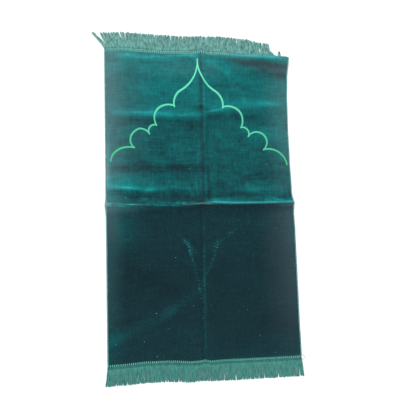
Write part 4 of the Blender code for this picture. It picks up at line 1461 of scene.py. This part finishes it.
all_pieces = (
    (velvet, "velvet", "velvet_panel"),
    (overlock_left, "overlock", "overlock_left"),
    (overlock_right, "overlock", "overlock_right"),
    (band_top, "trimming", "header_tape_top"),
    (band_bottom, "trimming", "header_tape_bottom"),
    (stitches_top, "trimming", None),
    (stitches_bottom, "trimming", None),
    (fringe_top, "fringe", "fringe_comb_top"),
    (fringe_bottom, "fringe", "fringe_comb_bottom"),
    (loose_thread, "trimming", None),
    (lint, None, None),
)
for piece, slot, node in all_pieces:
    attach(piece, "root")
    if node:
        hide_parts(node)
print("all pieces together:", sum(triangle_counts.values()), "triangles")

# %% [markdown]
# ## Floor, light and camera
#
# The floor is plain white and lit until it is paper white, as in a catalogue. A white sky
# gives most of the light, and a wide soft lamp from beyond the arch end gives the folds a
# lit side. The camera looks almost straight down from just over a metre, with a 27 mm lens.

# %% Floor
FLOOR_HALF = 6.0
FLOOR_GAP = 0.0003
FLOOR_LUMPS = (3.0, 3.0, 3.0)
floor_corners = ((-1, -1), (1, -1), (1, 1), (-1, 1))
floor_points = np.array([(FLOOR_HALF * x, FLOOR_HALF * y, -FLOOR_GAP) for x, y in floor_corners])
floor = add_mesh("floor", floor_points, [[0, 1, 2, 3]])
floor_finish, shader = new_finish("floor_white", Roughness=0.9, Specular_IOR_Level=0.0)
faint = noise(source(shader, "ShaderNodeTexCoord", "Object"), FLOOR_LUMPS) + 0.5
set_surface(shader, blend(faint, (0.86, 0.86, 0.86, 1.0), (0.88, 0.88, 0.88, 1.0)))
floor.data.materials.append(floor_finish)

# %% Light
SKY_STRENGTH = 0.80
LAMP_STRENGTH = 2.2
LAMP_SPREAD = 50.0
LAMP_FROM = (-0.25, 0.75, 1.0)
stage = bpy.context.scene
stage.world = bpy.data.worlds.new("white_sky")
stage.world.use_nodes = True
sky = stage.world.node_tree.nodes["Background"].inputs
sky["Color"].default_value = (1.0, 1.0, 1.0, 1.0)
sky["Strength"].default_value = SKY_STRENGTH
lamp_data = bpy.data.lights.new("wide_lamp", "SUN")
lamp_data.energy = LAMP_STRENGTH
lamp_data.angle = math.radians(LAMP_SPREAD)
lamp = bpy.data.objects.new("wide_lamp", lamp_data)
lamp.rotation_mode = "QUATERNION"
lamp.rotation_quaternion = Vector(LAMP_FROM).to_track_quat("Z", "Y")
stage.collection.objects.link(lamp)
stage.view_settings.view_transform = "Standard"
stage.view_settings.look = "None"
print(f"the sky at {SKY_STRENGTH} and the lamp at {LAMP_STRENGTH}")

# %% Camera
CAMERA_PLACE = (-0.0934, -0.0519, 1.0710)
CAMERA_VIEW = (0.0784, 0.0577, -0.9952)
CAMERA_TOP = (0.0055, 0.9983, 0.0583)
camera_data = bpy.data.cameras.new("camera")
camera_data.lens = 27.0
camera_data.sensor_width = 36.0
camera = bpy.data.objects.new("camera", camera_data)
stage.collection.objects.link(camera)
camera_place = Vector(CAMERA_PLACE) + Vector((SHIFT_X, SHIFT_Y, 0.0))
camera_view = Vector(CAMERA_VIEW).normalized()
camera_right = camera_view.cross(Vector(CAMERA_TOP)).normalized()
camera_up = camera_right.cross(camera_view)
turn_matrix = Matrix((camera_right, camera_up, -camera_view)).transposed()
camera.matrix_world = Matrix.Translation(camera_place) @ turn_matrix.to_4x4()
stage.camera = camera
print(f"camera {camera_place.z:.3f} m over the floor")
